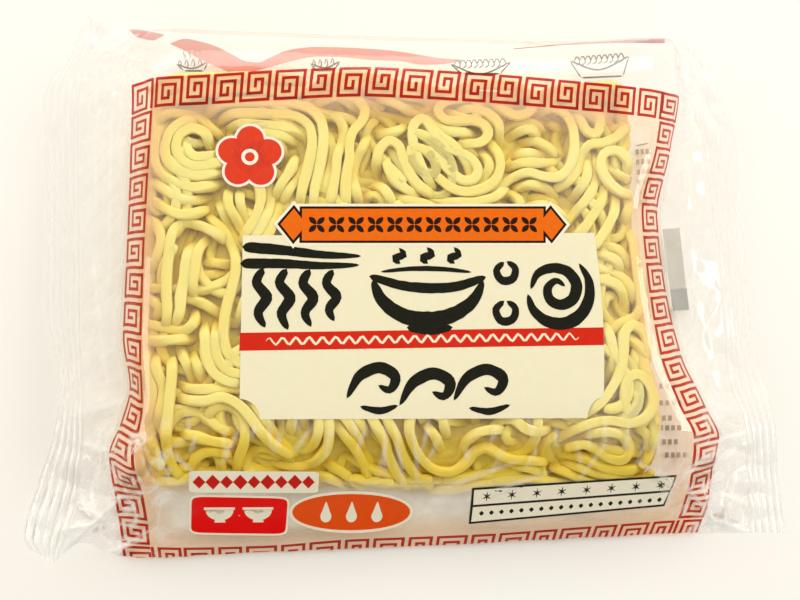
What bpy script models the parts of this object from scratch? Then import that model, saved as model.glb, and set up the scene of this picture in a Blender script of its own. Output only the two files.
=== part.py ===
"""A sealed pillow pack of soft noodles, lying on its back, as one closed solid.

X runs along the pack from end seal to end seal, Y across it from the front edge to the back edge,
and Z up. The origin is the middle of the pack's footprint, on the surface that the pack lies on.
The film is followed by two measures: its run, the distance along the pack as printed, and its
girth, the way round one cross section. Lengths below are millimetres until the mesh is built.
"""
import bmesh
import bpy
import numpy as np

MM = 0.001

# Driving sizes
CROWN = 28.5              # the top film above the surface
PRINT_RUN = 183.5         # the printed frame, left edge to right edge, along the film
FRAME_BAND = 9.66         # the width of the frame's band
SEAL_BAND = 10.5          # the crimped end seal
LEFT_MARGIN = 19.0        # clear film between the frame and the left seal
RIGHT_MARGIN = 25.0       # clear film between the frame and the right seal
SEAL_THICK = 0.9          # the crimped band, both sheets and the crimp's relief
RIDGES = 5                # crimp ridges in each seal
RIDGE_PITCH = 1.95
RIDGE_HEIGHT = 0.35       # half of the crimp's wave
FIN_BACK = 6.4            # the two edges of the fin seal under the pack
FIN_FRONT = -6.0
FIN_THICK = 0.6
FIN_STEP = 0.15           # half of the width over which the fin's edge steps down
HALF_DEPTH = 84.5         # half of the pack's depth, crease to crease
FULL_HEIGHT_IN = 24.0     # from the printed frame's end to where the film has its full height
FILM_COLOUR = (0.86, 0.66, 0.24, 1.0)
FILM_ROUGHNESS = 0.25

# Where along the run each lengthwise line of the film lies
LEFT_END = -LEFT_MARGIN - SEAL_BAND
LEFT_SEAL_IN = -LEFT_MARGIN
RIGHT_SEAL_IN = PRINT_RUN + RIGHT_MARGIN
RIGHT_END = RIGHT_SEAL_IN + SEAL_BAND

# Each line that crosses the film, as (place across the pack, place along the pack)
LEFT_SEAL_EDGE = ((88, -109), (74, -115.5), (61, -122), (26, -119), (-10, -117.2), (-38, -111.3),
                  (-50, -112.8), (-63, -117), (-80, -121), (-89, -115))
LEFT_SEAL_LINE = ((88, -104.5), (61, -110.2), (6, -107.6), (-26, -105.4), (-47, -103.2),
                  (-63, -104.2), (-78, -107), (-89, -110.7))
LEFT_FRAME_OUT = ((84, -93), (61, -92), (10, -91.3), (-20, -91.2), (-36, -88.4), (-46, -90.5),
                  (-56, -94), (-72, -92), (-88, -90.5))
LEFT_FRAME_IN = ((84, -84), (61, -84), (10, -84.6), (-25, -84.2), (-44, -83), (-55, -85.2),
                 (-72, -82.8), (-88, -82))
RIGHT_FRAME_IN = ((88, 82), (62, 79), (43, 75.8), (20, 70), (0, 71), (-24, 73.9), (-40, 79.2),
                  (-51, 84.6), (-66, 85.6), (-82, 83.5))
RIGHT_FRAME_OUT = ((88, 88), (63, 87), (43, 83), (20, 77.8), (0, 79.2), (-24, 83.7), (-40, 90.6),
                   (-50, 94.8), (-66, 94.2), (-82, 92))
RIGHT_SEAL_LINE = ((88, 93), (70, 96.2), (49, 98.7), (10, 102.2), (-30, 103), (-44, 106.8),
                   (-56, 108.2), (-82, 109.2))
RIGHT_SEAL_EDGE = ((88, 100), (75, 104.4), (49, 111), (20, 112), (-8, 112), (-38, 117.2),
                   (-63, 119.8), (-82, 122))
CROSS_LINES = (
    (LEFT_END, LEFT_SEAL_EDGE),
    (LEFT_SEAL_IN, LEFT_SEAL_LINE),
    (0.0, LEFT_FRAME_OUT),
    (FRAME_BAND, LEFT_FRAME_IN),
    (PRINT_RUN - FRAME_BAND, RIGHT_FRAME_IN),
    (PRINT_RUN, RIGHT_FRAME_OUT),
    (RIGHT_SEAL_IN, RIGHT_SEAL_LINE),
    (RIGHT_END, RIGHT_SEAL_EDGE),
)

# The creases where the top film turns into the back film, as (run, place across the pack)
BACK_CREASE = ((LEFT_END, 88), (LEFT_SEAL_IN, 85.5), (0, 83.8), (35, 83.1), (130, 83.6), (170, 86.5),
               (186, 88.2), (RIGHT_SEAL_IN, 87.5), (RIGHT_END, 86))
FRONT_CREASE = ((LEFT_END, -84), (-22, -88.5), (-14, -82), (0, -86.3), (8, -87.2), (35, -86),
                (95, -84), (135, -82.2), (190, -80.2), (RIGHT_END, -80))

# The top film over the noodles, from the back crease to the front one, as
# (share of the way along the film, place from 1 at the back to -1 at the front, share of CROWN)
TOP_SECTION = ((0.00, 1.00, 0.32), (0.04, 0.985, 0.52), (0.09, 0.94, 0.73), (0.15, 0.86, 0.89),
               (0.22, 0.74, 0.965), (0.35, 0.45, 0.995), (0.50, 0.0, 1.0), (0.66, -0.45, 0.985),
               (0.73, -0.60, 0.94), (0.79, -0.69, 0.79), (0.85, -0.78, 0.59), (0.91, -0.87, 0.37),
               (0.96, -0.95, 0.19), (1.00, -1.00, 0.06))
# The back film under the noodles, as (place across, share of CROWN)
BACK_SECTION = ((-1.0, 0.06), (-0.97, 0.01), (-0.93, 0.0), (0.70, 0.0), (0.84, 0.05), (0.94, 0.17),
                (1.0, 0.32))
# How far the film has risen to the noodles' full height, as (distance in from the printed frame's
# end, share). The first places of both ends lie in the margins outside the frame.
FRAME_RISE = ((0, 0.56), (5, 0.77), (FRAME_BAND, 0.91), (16, 0.985), (FULL_HEIGHT_IN, 1.0))
LEFT_RISE = ((-LEFT_MARGIN, 0.0), (-12, 0.15), (-5, 0.37)) + FRAME_RISE
RIGHT_RISE = ((-RIGHT_MARGIN, 0.0), (-16, 0.12), (-7, 0.33)) + FRAME_RISE
RISE = LEFT_RISE + tuple((PRINT_RUN - inward, share) for inward, share in reversed(RIGHT_RISE))
# The height of the seals above the surface, as (place across, millimetres)
SEAL_LIFT = ((-89, 2.6), (-66, 4.0), (-42, 8.5), (-25, 7.0), (30, 6.5), (70, 8.0), (88, 9.0))

# How finely the solid is divided; each body run is (start, stop, cross sections)
RIDGE_STEPS = 4
BODY_RUNS = ((LEFT_SEAL_IN, FULL_HEIGHT_IN, 15),
             (FULL_HEIGHT_IN, PRINT_RUN - FULL_HEIGHT_IN, 10),
             (PRINT_RUN - FULL_HEIGHT_IN, RIGHT_SEAL_IN, 16))
GIRTH_STEPS = 25
LEAST_PLACE_GAP = 0.03
SHARP_EDGE = np.radians(50)


def through(knots, values, at):
    """A curve through the values that never overshoots them: a cubic piece between each two knots,
    whose slope at a knot is the harmonic mean of the slopes beside it, or nought at a turn."""
    knots = np.asarray(knots, float)
    at = np.asarray(at, float)
    values = np.asarray(values, float)
    gaps = np.diff(knots).reshape((-1,) + (1,) * (values.ndim - 1))
    rates = np.diff(values, axis=0) / gaps
    same_way = rates[:-1] * rates[1:] > 0
    total = np.where(same_way, rates[:-1] + rates[1:], 1.0)
    inner = np.where(same_way, 2.0 * rates[:-1] * rates[1:] / total, 0.0)
    slopes = np.concatenate([rates[:1], inner, rates[-1:]])
    at = np.clip(at, knots[0], knots[-1])
    piece = np.clip(np.searchsorted(knots, at, side="right") - 1, 0, len(knots) - 2)
    width = knots[piece + 1] - knots[piece]
    t = (at - knots[piece]) / width

    def pick(table, index):
        if table.ndim == 1:
            return table[index]
        return np.take_along_axis(table, index[None, ...], axis=0)[0]

    return ((1 + 2 * t) * (1 - t) ** 2 * pick(values, piece)
            + t * (1 - t) ** 2 * width * pick(slopes, piece)
            + t * t * (3 - 2 * t) * pick(values, piece + 1)
            + t * t * (t - 1) * width * pick(slopes, piece + 1))


def along_pair(pairs, at):
    """The curve through a tuple of (knot, value) pairs."""
    knots, values = zip(*sorted(pairs))
    return through(knots, values, at)


def place_along(run, across):
    """X of the film at a run and a place across: each crossing line gives its own X there, and a
    curve through those lines gives the X between them."""
    lines = np.stack([along_pair(line, across) for _, line in CROSS_LINES])
    return through([knot for knot, _ in CROSS_LINES], lines, run)


def crimp(run):
    """The wave of the crimped seals: whole cosine ridges, counted from each outer edge."""
    margin = (SEAL_BAND - RIDGES * RIDGE_PITCH) / 2
    depth = np.where(run < 0, run - LEFT_END, RIGHT_END - run) - margin
    inside = (depth > 0) & (depth < RIDGES * RIDGE_PITCH)
    return np.where(inside, RIDGE_HEIGHT * (1 - np.cos(2 * np.pi * depth / RIDGE_PITCH)), 0.0)


def girth_places():
    """Places across the pack, from 1 at the back crease to -1 at the front one, evenly spread and
    with one on each side of both edges of the fin seal."""
    fin_edges = [(edge + step) / HALF_DEPTH for edge in (FIN_BACK, FIN_FRONT)
                 for step in (FIN_STEP, -FIN_STEP)]
    even = np.cos(np.linspace(0, np.pi, GIRTH_STEPS - 2))[1:-1]
    even = [place for place in even if all(abs(place - edge) > LEAST_PLACE_GAP for edge in fin_edges)]
    return np.array(sorted(even + fin_edges, reverse=True))


def run_places():
    """Runs of the solid's cross sections: a few for every crimp ridge, and closer together on the
    slopes at the ends than over the noodles."""
    margin = (SEAL_BAND - RIDGES * RIDGE_PITCH) / 2
    wave = LEFT_END + margin + np.arange(RIDGES * RIDGE_STEPS + 1) * RIDGE_PITCH / RIDGE_STEPS
    left = np.concatenate([[LEFT_END], wave])
    right = (RIGHT_END + LEFT_END - left)[::-1]
    body = np.concatenate([np.linspace(start, stop, count, endpoint=False)
                           for start, stop, count in BODY_RUNS])
    return np.concatenate([left, body, [RIGHT_SEAL_IN], right])


def film_points():
    """Every cross section's points, as an array of sections by points by XYZ: the back crease, the
    top film, the front crease, then the back film on the way home."""
    run = run_places()[:, None]
    flat = girth_places()[None, :]
    share, place, height = np.array(TOP_SECTION).T
    film_share = np.linspace(0, 1, flat.shape[1] + 2)[None, 1:-1]
    over = through(share, place, film_share)
    rise = along_pair(RISE, run)
    back = along_pair(BACK_CREASE, run)
    front = along_pair(FRONT_CREASE, run)

    def sheet(across_share, level, skin):
        across = (back + front) / 2 + (back - front) / 2 * across_share
        seal = along_pair(SEAL_LIFT, across) + crimp(run) + skin * SEAL_THICK / 2
        lift = seal + (level * CROWN - seal) * rise
        return np.stack([place_along(run + 0 * across, across), across, lift], axis=-1)

    top = sheet(flat + (over - flat) * rise, through(share, height, film_share), 1)
    below = sheet(flat + 0 * rise, along_pair(BACK_SECTION, flat), -1)
    fin = (below[..., 1] > FIN_FRONT) & (below[..., 1] < FIN_BACK)
    below[..., 2] = np.where(fin, np.maximum(below[..., 2] - FIN_THICK, 0.0), below[..., 2])
    back_edge = sheet(1.0 + 0 * run, height[0], 0)
    front_edge = sheet(-1.0 + 0 * run, height[-1], 0)
    return np.concatenate([back_edge, top, front_edge, below[:, ::-1]], axis=1)


def centred(points):
    """Moves the footprint's middle to the origin and turns millimetres into metres."""
    corners = points.reshape(-1, 3)
    middle = (corners.min(axis=0) + corners.max(axis=0)) / 2
    middle[2] = 0.0
    return (points - middle) * MM


def pack_mesh(points):
    """A skin of quads over the cross sections, closed at both ends by strips that join the top film
    to the back film, and then cut into triangles."""
    sections, around, _ = points.shape
    sheet = (around - 2) // 2
    solid = bmesh.new()
    corners = [[solid.verts.new(point) for point in section] for section in points]
    for near, far in zip(corners[:-1], corners[1:]):
        for i in range(around):
            j = (i + 1) % around
            solid.faces.new((near[i], far[i], far[j], near[j]))
    for end in (corners[0], corners[-1]):
        for i in range(sheet + 1):
            top_now, top_next = end[i], end[i + 1]
            under_now, under_next = end[-i % around], end[-i - 1]
            strip = [top_now, top_next, under_next, under_now]
            solid.faces.new(list(dict.fromkeys(strip)))
    bmesh.ops.recalc_face_normals(solid, faces=solid.faces)
    bmesh.ops.triangulate(solid, faces=solid.faces)
    mesh = bpy.data.meshes.new("noodle_pack")
    solid.to_mesh(mesh)
    solid.free()
    return mesh


def film_material():
    """Clear film over pale yellow noodles: one smooth, glossy, warm yellow."""
    material = bpy.data.materials.new("film_over_noodles")
    material.use_nodes = True
    shader = material.node_tree.nodes["Principled BSDF"]
    shader.inputs["Base Color"].default_value = FILM_COLOUR
    shader.inputs["Roughness"].default_value = FILM_ROUGHNESS
    shader.inputs["Metallic"].default_value = 0.0
    return material


def build():
    for item in list(bpy.data.objects):
        bpy.data.objects.remove(item, do_unlink=True)
    pack = bpy.data.objects.new("noodle_pack", pack_mesh(centred(film_points())))
    bpy.context.collection.objects.link(pack)
    pack.data.materials.append(film_material())
    pack.data.shade_smooth()
    pack.data.set_sharp_from_angle(angle=SHARP_EDGE)


build()
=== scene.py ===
"""A sealed pillow pack of soft yakisoba noodles: clear printed film round a block of noodles.

The film is followed by two measures, in millimetres: its run, the distance along the pack as it was
printed, and its girth, the distance round one cross section, counted from the back edge of the
printed frame towards the front. film_grid gives the film's place in space. The printed frame and
its tint are drawn flat in run and girth and laid on the film by on_film. All other print is drawn on
the plan, which is X and Y as seen from above, and laid on a film by on_front or on_back.
"""

import bpy
import numpy as np
from mathutils import Matrix, Vector


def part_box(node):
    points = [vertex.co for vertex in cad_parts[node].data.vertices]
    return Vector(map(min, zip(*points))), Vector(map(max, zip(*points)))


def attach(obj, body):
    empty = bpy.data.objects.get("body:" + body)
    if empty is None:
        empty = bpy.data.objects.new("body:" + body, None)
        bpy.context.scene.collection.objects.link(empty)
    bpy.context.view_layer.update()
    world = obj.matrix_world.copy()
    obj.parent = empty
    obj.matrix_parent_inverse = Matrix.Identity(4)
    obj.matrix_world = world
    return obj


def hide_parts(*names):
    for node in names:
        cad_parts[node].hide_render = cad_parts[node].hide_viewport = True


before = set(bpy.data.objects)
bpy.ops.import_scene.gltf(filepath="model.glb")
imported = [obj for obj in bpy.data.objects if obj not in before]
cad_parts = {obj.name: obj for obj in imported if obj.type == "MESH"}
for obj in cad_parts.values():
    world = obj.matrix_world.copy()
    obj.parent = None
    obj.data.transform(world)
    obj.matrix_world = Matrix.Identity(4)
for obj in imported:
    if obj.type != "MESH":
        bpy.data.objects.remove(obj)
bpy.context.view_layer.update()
box_low, box_high = (np.array(corner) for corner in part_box("noodle_pack"))

MM = 0.001

# ------------------------------------------------------------------ sizes of the film, millimetres
CROWN = (box_high[2] - box_low[2]) / MM
UNITS_ALONG = 19                    # squares of the printed frame, along the pack and across it
UNITS_ACROSS = 16
UNIT = 9.66
PRINT_RUN = UNITS_ALONG * UNIT
PRINT_GIRTH = UNITS_ACROSS * UNIT
SEAL_BAND = 10.5
LEFT_MARGIN = 19.0
RIGHT_MARGIN = 25.0
LEFT_END = -LEFT_MARGIN - SEAL_BAND
LEFT_SEAL_IN = -LEFT_MARGIN
RIGHT_SEAL_IN = PRINT_RUN + RIGHT_MARGIN
RIGHT_END = RIGHT_SEAL_IN + SEAL_BAND
SHEET_GAP = 0.16                    # between the two sheets of film in a seal
RIDGES = 5                          # in each seal, and the distance from one to the next
RIDGE_PITCH = 1.95
FIN_X = (-104, 101)                 # ends and edges of the long seal on the back
FIN_Y = (-6.0, 6.4)
FIN_PITCH = 2.0                     # of its ribs
TINT_REACH = 19.0                   # from the frame's outer edge to where its tint has faded out

# Each line that crosses the film, as (place across the pack, place along the pack)
CROSS_LINES = (
    (LEFT_END, ((88, -109), (74, -115.5), (61, -122), (26, -119), (-10, -117.2), (-38, -111.3),
                (-50, -112.8), (-63, -117), (-80, -121), (-89, -115))),
    (LEFT_SEAL_IN, ((88, -104.5), (61, -110.2), (6, -107.6), (-26, -105.4), (-47, -103.2),
                    (-63, -104.2), (-78, -107), (-89, -110.7))),
    (0.0, ((84, -93), (61, -92), (10, -91.3), (-20, -91.2), (-36, -88.4), (-46, -90.5), (-56, -94),
           (-72, -92), (-88, -90.5))),
    (UNIT, ((84, -84), (61, -84), (10, -84.6), (-25, -84.2), (-44, -83), (-55, -85.2), (-72, -82.8),
            (-88, -82))),
    (PRINT_RUN - UNIT, ((88, 82), (62, 79), (43, 75.8), (20, 70), (0, 71), (-24, 73.9), (-40, 79.2),
                        (-51, 84.6), (-66, 85.6), (-82, 83.5))),
    (PRINT_RUN, ((88, 88), (63, 87), (43, 83), (20, 77.8), (0, 79.2), (-24, 83.7), (-40, 90.6),
                 (-50, 94.8), (-66, 94.2), (-82, 92))),
    (RIGHT_SEAL_IN, ((88, 93), (70, 96.2), (49, 98.7), (10, 102.2), (-30, 103), (-44, 106.8),
                     (-56, 108.2), (-82, 109.2))),
    (RIGHT_END, ((88, 100), (75, 104.4), (49, 111), (20, 112), (-8, 112), (-38, 117.2),
                 (-63, 119.8), (-82, 122))),
)
# The creases where the top film turns into the back film, as (run, place across the pack)
BACK_CREASE = ((LEFT_END, 88), (LEFT_SEAL_IN, 85.5), (0, 83.8), (35, 83.1), (130, 83.6), (170, 86.5),
               (186, 88.2), (RIGHT_SEAL_IN, 87.5), (RIGHT_END, 86))
FRONT_CREASE = ((LEFT_END, -84), (-22, -88.5), (-14, -82), (0, -86.3), (8, -87.2), (35, -86),
                (95, -84), (135, -82.2), (190, -80.2), (RIGHT_END, -80))
# The printed frame's back edge, and the near edge of its front band, as (run, place across)
FRAME_BACK = ((LEFT_END, 60), (0, 60.4), (20, 61.2), (50, 64.2), (80, 66.4), (110, 65.6), (150, 63.3),
              (175, 61.8), (PRINT_RUN, 63), (RIGHT_END, 63))
FRAME_FRONT = ((LEFT_END, -81), (0, -82.7), (22, -83.6), (45, -83.2), (70, -81.4), (110, -80),
               (150, -77.3), (PRINT_RUN, -75.4), (RIGHT_END, -75))
# The top film over the noodles, as (share of the way along the film, place from 1 at the back
# crease to -1 at the front one, share of CROWN)
TOP_SECTION = ((0.00, 1.00, 0.32), (0.04, 0.985, 0.52), (0.09, 0.94, 0.73), (0.15, 0.86, 0.89),
               (0.22, 0.74, 0.965), (0.35, 0.45, 0.995), (0.50, 0.0, 1.0), (0.66, -0.45, 0.985),
               (0.73, -0.60, 0.94), (0.79, -0.69, 0.79), (0.85, -0.78, 0.59), (0.91, -0.87, 0.37),
               (0.96, -0.95, 0.19), (1.00, -1.00, 0.06))
# The back film under the noodles, as (place across, share of CROWN)
BACK_SECTION = ((-1.0, 0.06), (-0.97, 0.01), (-0.93, 0.0), (0.70, 0.0), (0.84, 0.05), (0.94, 0.17),
                (1.0, 0.32))
# How far the film has risen from the seals to the noodles' full height, as (run, share)
RISE = ((LEFT_SEAL_IN, 0.0), (-12, 0.15), (-5, 0.37), (0, 0.56), (5, 0.77), (9.7, 0.91), (16, 0.985),
        (24, 1.0), (PRINT_RUN - 24, 1.0), (PRINT_RUN - 16, 0.985), (PRINT_RUN - 9.7, 0.91),
        (PRINT_RUN - 5, 0.77), (PRINT_RUN, 0.56), (PRINT_RUN + 7, 0.33), (PRINT_RUN + 16, 0.12),
        (RIGHT_SEAL_IN, 0.0))
# The height of the seals above the surface, as (place across, millimetres)
SEAL_LIFT = ((-89, 2.6), (-66, 4.0), (-42, 8.5), (-25, 7.0), (30, 6.5), (70, 8.0), (88, 9.0))
# The height of the ridges in the seals, as (place across, millimetres)
RIDGE_HEIGHT = ((-90, 0.30), (-50, 0.26), (-43, 0.10), (-30, 0.05), (88, 0.04))
# Crumpled places of the front film: middle, reach along and across, height and size of the facets
CRUMPLED = (
    ((-97, -72), (20, 20), 3.6, 17),
    ((-84, -60), (13, 11), 1.5, 11),
    ((101, -64), (15, 20), 3.2, 14),
    ((84, -64), (12, 10), 1.2, 12),
    ((-97, 74), (14, 16), 2.4, 15),
    ((96, 68), (9, 22), 2.4, 14),
    ((-100, 10), (9, 60), 1.0, 16),
    ((97, -5), (10, 50), 1.0, 16),
)
# Folds in the front film, as start and end on the plan, width and height
FOLDS = (
    # between the front left corner and its seal
    ((-111, -87), (-86, -64), 1.5, 1.5),
    ((-113, -79), (-93, -75), 1.2, 1.1),
    ((-109, -66), (-90, -80), 1.2, 0.8),
    ((-104, -89), (-82, -80), 1.3, 0.9),
    ((-110, -51), (-92, -55), 1.2, 0.8),
    ((-110, -45), (-88, -38), 2.6, 0.9),
    ((-89, -58), (-78, -49), 0.5, 0.3),
    ((-76, -54), (-67, -62), 0.8, 0.35),
    ((-82, -57), (-74, -61), 0.6, 0.25),
    # the left margin
    ((-105, 70), (-103, 20), 3.0, 0.5),
    ((-99, 55), (-97, -10), 2.2, 0.4),
    ((-104, 10), (-96, -36), 2.0, 0.6),
    ((-109, 80), (-86, 66), 2.2, 0.8),
    ((-108, 73), (-90, 80), 1.4, 0.6),
    # the right margin
    ((97, 78), (99, 30), 2.6, 0.6),
    ((91, 44), (94, 24), 1.2, 0.4),
    ((101, 30), (104, -20), 2.2, 0.4),
    ((93, 5), (101, -38), 2.0, 0.5),
    # between the front right corner and its seal
    ((112, -47), (90, -52), 1.1, 0.8),
    ((112, -50), (95, -58), 0.8, 0.7),
    ((105, -56), (100, -80), 1.2, 0.9),
    ((111, -72), (90, -64), 1.2, 0.9),
    ((112, -81), (88, -73), 1.2, 0.9),
    ((99, -84), (90, -62), 0.9, 0.6),
    ((80, -60), (100, -80), 1.0, 0.6),
    ((66, -57), (84, -66), 1.0, 0.5),
    # over the noodles' front edge
    ((-9, -44), (-5, -67), 0.8, 0.25),
    ((-12, -45), (-11, -64), 0.6, 0.2),
    ((-3, -49), (-1, -67), 0.7, 0.2),
    ((6, -66), (31, -57), 0.8, 0.3),
    ((19, -68), (42, -60), 0.8, 0.3),
)


# ------------------------------------------------------------------ curves and colours
def cubic(t, width, low, high, slope_low, slope_high):
    """A cubic from low to high over a width, with a slope at each end; t goes from 0 to 1."""
    return ((1 + 2 * t) * (1 - t) ** 2 * low + t * (1 - t) ** 2 * width * slope_low
            + t * t * (3 - 2 * t) * high + t * t * (t - 1) * width * slope_high)


def through(knots, values, at):
    """A curve through the values that never overshoots them: a cubic piece between each two knots,
    whose slope at a knot is the harmonic mean of the slopes beside it, or nought at a turn."""
    knots = np.asarray(knots, float)
    values = np.asarray(values, float)
    at = np.clip(np.asarray(at, float), knots[0], knots[-1])
    gaps = np.diff(knots).reshape((-1,) + (1,) * (values.ndim - 1))
    rates = np.diff(values, axis=0) / gaps
    same_way = rates[:-1] * rates[1:] > 0
    total = np.where(same_way, rates[:-1] + rates[1:], 1.0)
    inner = np.where(same_way, 2.0 * rates[:-1] * rates[1:] / total, 0.0)
    slopes = np.concatenate([rates[:1], inner, rates[-1:]])
    piece = np.clip(np.searchsorted(knots, at, side="right") - 1, 0, len(knots) - 2)
    width = knots[piece + 1] - knots[piece]
    t = (at - knots[piece]) / width

    def pick(table, index):
        if table.ndim == 1:
            return table[index]
        return np.take_along_axis(table, index[None, ...], axis=0)[0]

    return cubic(t, width, pick(values, piece), pick(values, piece + 1), pick(slopes, piece),
                 pick(slopes, piece + 1))


def along_pair(pairs, at):
    """The curve through a tuple of (knot, value) pairs."""
    knots, values = zip(*sorted(pairs))
    return through(knots, values, at)


def smooth_route(places, step):
    """Evenly spaced points on a smooth curve through the places: cubic pieces over the chord
    length, whose slope at each place is that of the chord between its two neighbours."""
    places = np.array(places, float)
    chord = np.concatenate([[0], np.cumsum(np.linalg.norm(np.diff(places, axis=0), axis=1))])
    slopes = np.gradient(places, chord, axis=0)
    fine = np.linspace(0, chord[-1], int(chord[-1] / 0.25) + 2)
    piece = np.clip(np.searchsorted(chord, fine, side="right") - 1, 0, len(chord) - 2)
    width = (chord[piece + 1] - chord[piece])[:, None]
    t = (fine - chord[piece])[:, None] / width
    curve = cubic(t, width, places[piece], places[piece + 1], slopes[piece], slopes[piece + 1])
    length = np.concatenate([[0], np.cumsum(np.linalg.norm(np.diff(curve, axis=0), axis=1))])
    even = np.linspace(0, length[-1], max(4, int(length[-1] / step) + 1))
    return np.stack([np.interp(even, length, curve[:, k]) for k in range(2)], axis=1)


def onward(path):
    """Arrows of length 1 along a path."""
    ahead = np.gradient(path, axis=0)
    return ahead / np.linalg.norm(ahead, axis=1, keepdims=True)


def sideways(path):
    """Arrows of length 1, to the left of a path on the plan."""
    ahead = onward(path)
    return np.stack([-ahead[:, 1], ahead[:, 0]], axis=1)


def superellipse(angle, exponent):
    """X and Y of a superellipse of half axes 1: cosine and sine, each to the power 2 / exponent."""
    cosine, sine = np.cos(angle), np.sin(angle)
    power = 2 / exponent
    return np.sign(cosine) * np.abs(cosine) ** power, np.sign(sine) * np.abs(sine) ** power


def table_place(at, knots):
    """Where values lie in an evenly spaced list: the knot before each, and the share on from it."""
    place = np.clip((at - knots[0]) / (knots[1] - knots[0]), 0, len(knots) - 1.001)
    before = place.astype(int)
    return before, place - before


def blended(table, i, j, u, v):
    """A value between the four entries of a table round a place, by the shares u and v."""
    return ((1 - u) * (1 - v) * table[i, j] + u * (1 - v) * table[i + 1, j]
            + (1 - u) * v * table[i, j + 1] + u * v * table[i + 1, j + 1])


def linear(hex_colour):
    """An sRGB hex colour as linear RGBA."""
    channels = np.array([int(hex_colour[i:i + 2], 16) / 255 for i in (1, 3, 5)])
    low = channels / 12.92
    high = ((channels + 0.055) / 1.055) ** 2.4
    return (*np.where(channels <= 0.04045, low, high), 1.0)


# ------------------------------------------------------------------ the film's shape
def place_along(run, across):
    """X of the film at a run and a place across: each crossing line gives its own X there, and a
    curve through those lines gives the X between them."""
    lines = np.stack([along_pair(line, across) for _, line in CROSS_LINES])
    return through([knot for knot, _ in CROSS_LINES], lines, run)


def smooth_noise(x, y, size, seed):
    """A soft random height from -1 to 1: the mean of eight plane waves of about the given size,
    each with its own direction and phase."""
    waves = np.random.default_rng(seed)
    total = 0.0
    for _ in range(8):
        angle = waves.uniform(0, 2 * np.pi)
        length = size * waves.uniform(0.7, 1.5)
        phase = waves.uniform(0, 2 * np.pi)
        total = total + np.sin(2 * np.pi * (x * np.cos(angle) + y * np.sin(angle)) / length + phase)
    return total / 8


def shoulder_creases():
    """Short fine creases scattered along the front shoulder, each running down the slope."""
    pick = np.random.default_rng(31)
    creases = []
    for x in np.linspace(-80, 78, 34):
        x0, y0 = x + pick.uniform(-2, 2), pick.uniform(-53, -43)
        lean, length = pick.uniform(-0.7, 0.5), pick.uniform(5, 14)
        creases.append(((x0, y0), (x0 + lean * length, y0 - length), 0.8, pick.uniform(0.05, 0.25)))
    return tuple(creases)


FOLDS += shoulder_creases()


def rib_depth(run):
    """How far a place lies inside the ridged part of its seal, and whether it lies in it."""
    margin = (SEAL_BAND - RIDGES * RIDGE_PITCH) / 2
    depth = np.where(run < 0, run - LEFT_END, RIGHT_END - run) - margin
    return depth, (depth > 0) & (depth < RIDGES * RIDGE_PITCH)


def crimp(run, across):
    """The wave of the crimped seals: whole cosine ridges, counted from each outer edge, deep where
    the seals are bent towards the front and nearly pressed out behind that."""
    depth, inside = rib_depth(run)
    height = along_pair(RIDGE_HEIGHT, across)
    return np.where(inside, height * (1 - np.cos(2 * np.pi * depth / RIDGE_PITCH)) / 2, 0.0)


def along_fold(x, y, fold):
    """How far each place lies to the side of a fold's line, and a fade that is 1 in the middle of
    the line and 0 at its ends."""
    (x0, y0), (x1, y1) = fold
    length = np.hypot(x1 - x0, y1 - y0)
    along = ((x - x0) * (x1 - x0) + (y - y0) * (y1 - y0)) / length
    aside = ((x - x0) * (y1 - y0) - (y - y0) * (x1 - x0)) / length
    return aside, np.sin(np.pi * np.clip(along / length, 0, 1)) ** 0.8


def folds(x, y):
    """The height that the folds add: each fold is a crest along a straight line, sharp at its top,
    whose height falls off to both sides as one over (1 + square of distance)."""
    total = 0.0
    for start, stop, width, height in FOLDS:
        aside, fade = along_fold(x, y, (start, stop))
        total = total + height * fade / (1 + (aside / width) ** 2)
    return total


def crumple_places(x, y):
    """For each crumpled place, how near the points are to it, its random height and its depth."""
    for seed, ((x0, y0), (reach_x, reach_y), height, size) in enumerate(CRUMPLED):
        near = np.exp(-((x - x0) / reach_x) ** 4 - ((y - y0) / reach_y) ** 4)
        yield near, smooth_noise(x, y, size, 40 + seed) + 0.1, height


def crumples(x, y):
    """The height that crumpling adds: the size of a soft random height, which makes sharp valleys
    between rounded facets, in places that fade out like bells."""
    return sum(height * near * np.abs(noise) for near, noise, height in crumple_places(x, y))


# How strong the painted highlights and painted shade of the creases are, by place across the pack: most
# in front of the noodles
CREASE_CONTRAST = ((-90, 1.0), (-48, 0.9), (-38, 0.45), (30, 0.22), (88, 0.4))


def crease_highlight_and_shade(x, y):
    """Painted highlights and painted shade of the creased film, from -0.5 to 0.5: white along each fold
    and crumpled valley, partly the whitening of creased film and partly painted highlight, white on some
    whole facets as painted highlight, and grey beside a fold and on some patches as painted shade."""
    total = 0.0
    for start, stop, width, height in FOLDS:
        aside, fade = along_fold(x, y, (start, stop))
        # bright is partly crease whitening and partly painted highlight; grey is painted shade beside the
        # fold
        bright = 0.5 * np.exp(-(aside / 0.75) ** 2)
        grey = 0.22 * np.exp(-((aside - 1.4 * width) / (0.9 * width)) ** 2)
        strength = min(height + 0.25, 1.0) * fade
        total = total + strength * (bright - grey) * along_pair(CREASE_CONTRAST, y)
    for near, noise, height in crumple_places(x, y):
        line = 0.5 * np.exp(-(noise / 0.035) ** 2)
        # facet paints highlights on whole facets, and shade paints shade on patches
        facet = 0.40 * np.clip(8 * (smooth_noise(x, y, 9, 77) - 0.22), 0, 1)
        shade = 0.22 * np.clip(6 * (smooth_noise(x, y, 12, 78) - 0.1), 0, 1)
        strength = min(height / 3, 1.0) * near
        total = total + strength * (line + facet - shade) * along_pair(CREASE_CONTRAST, y)
    return np.clip(total, -0.5, 0.5)


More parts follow.
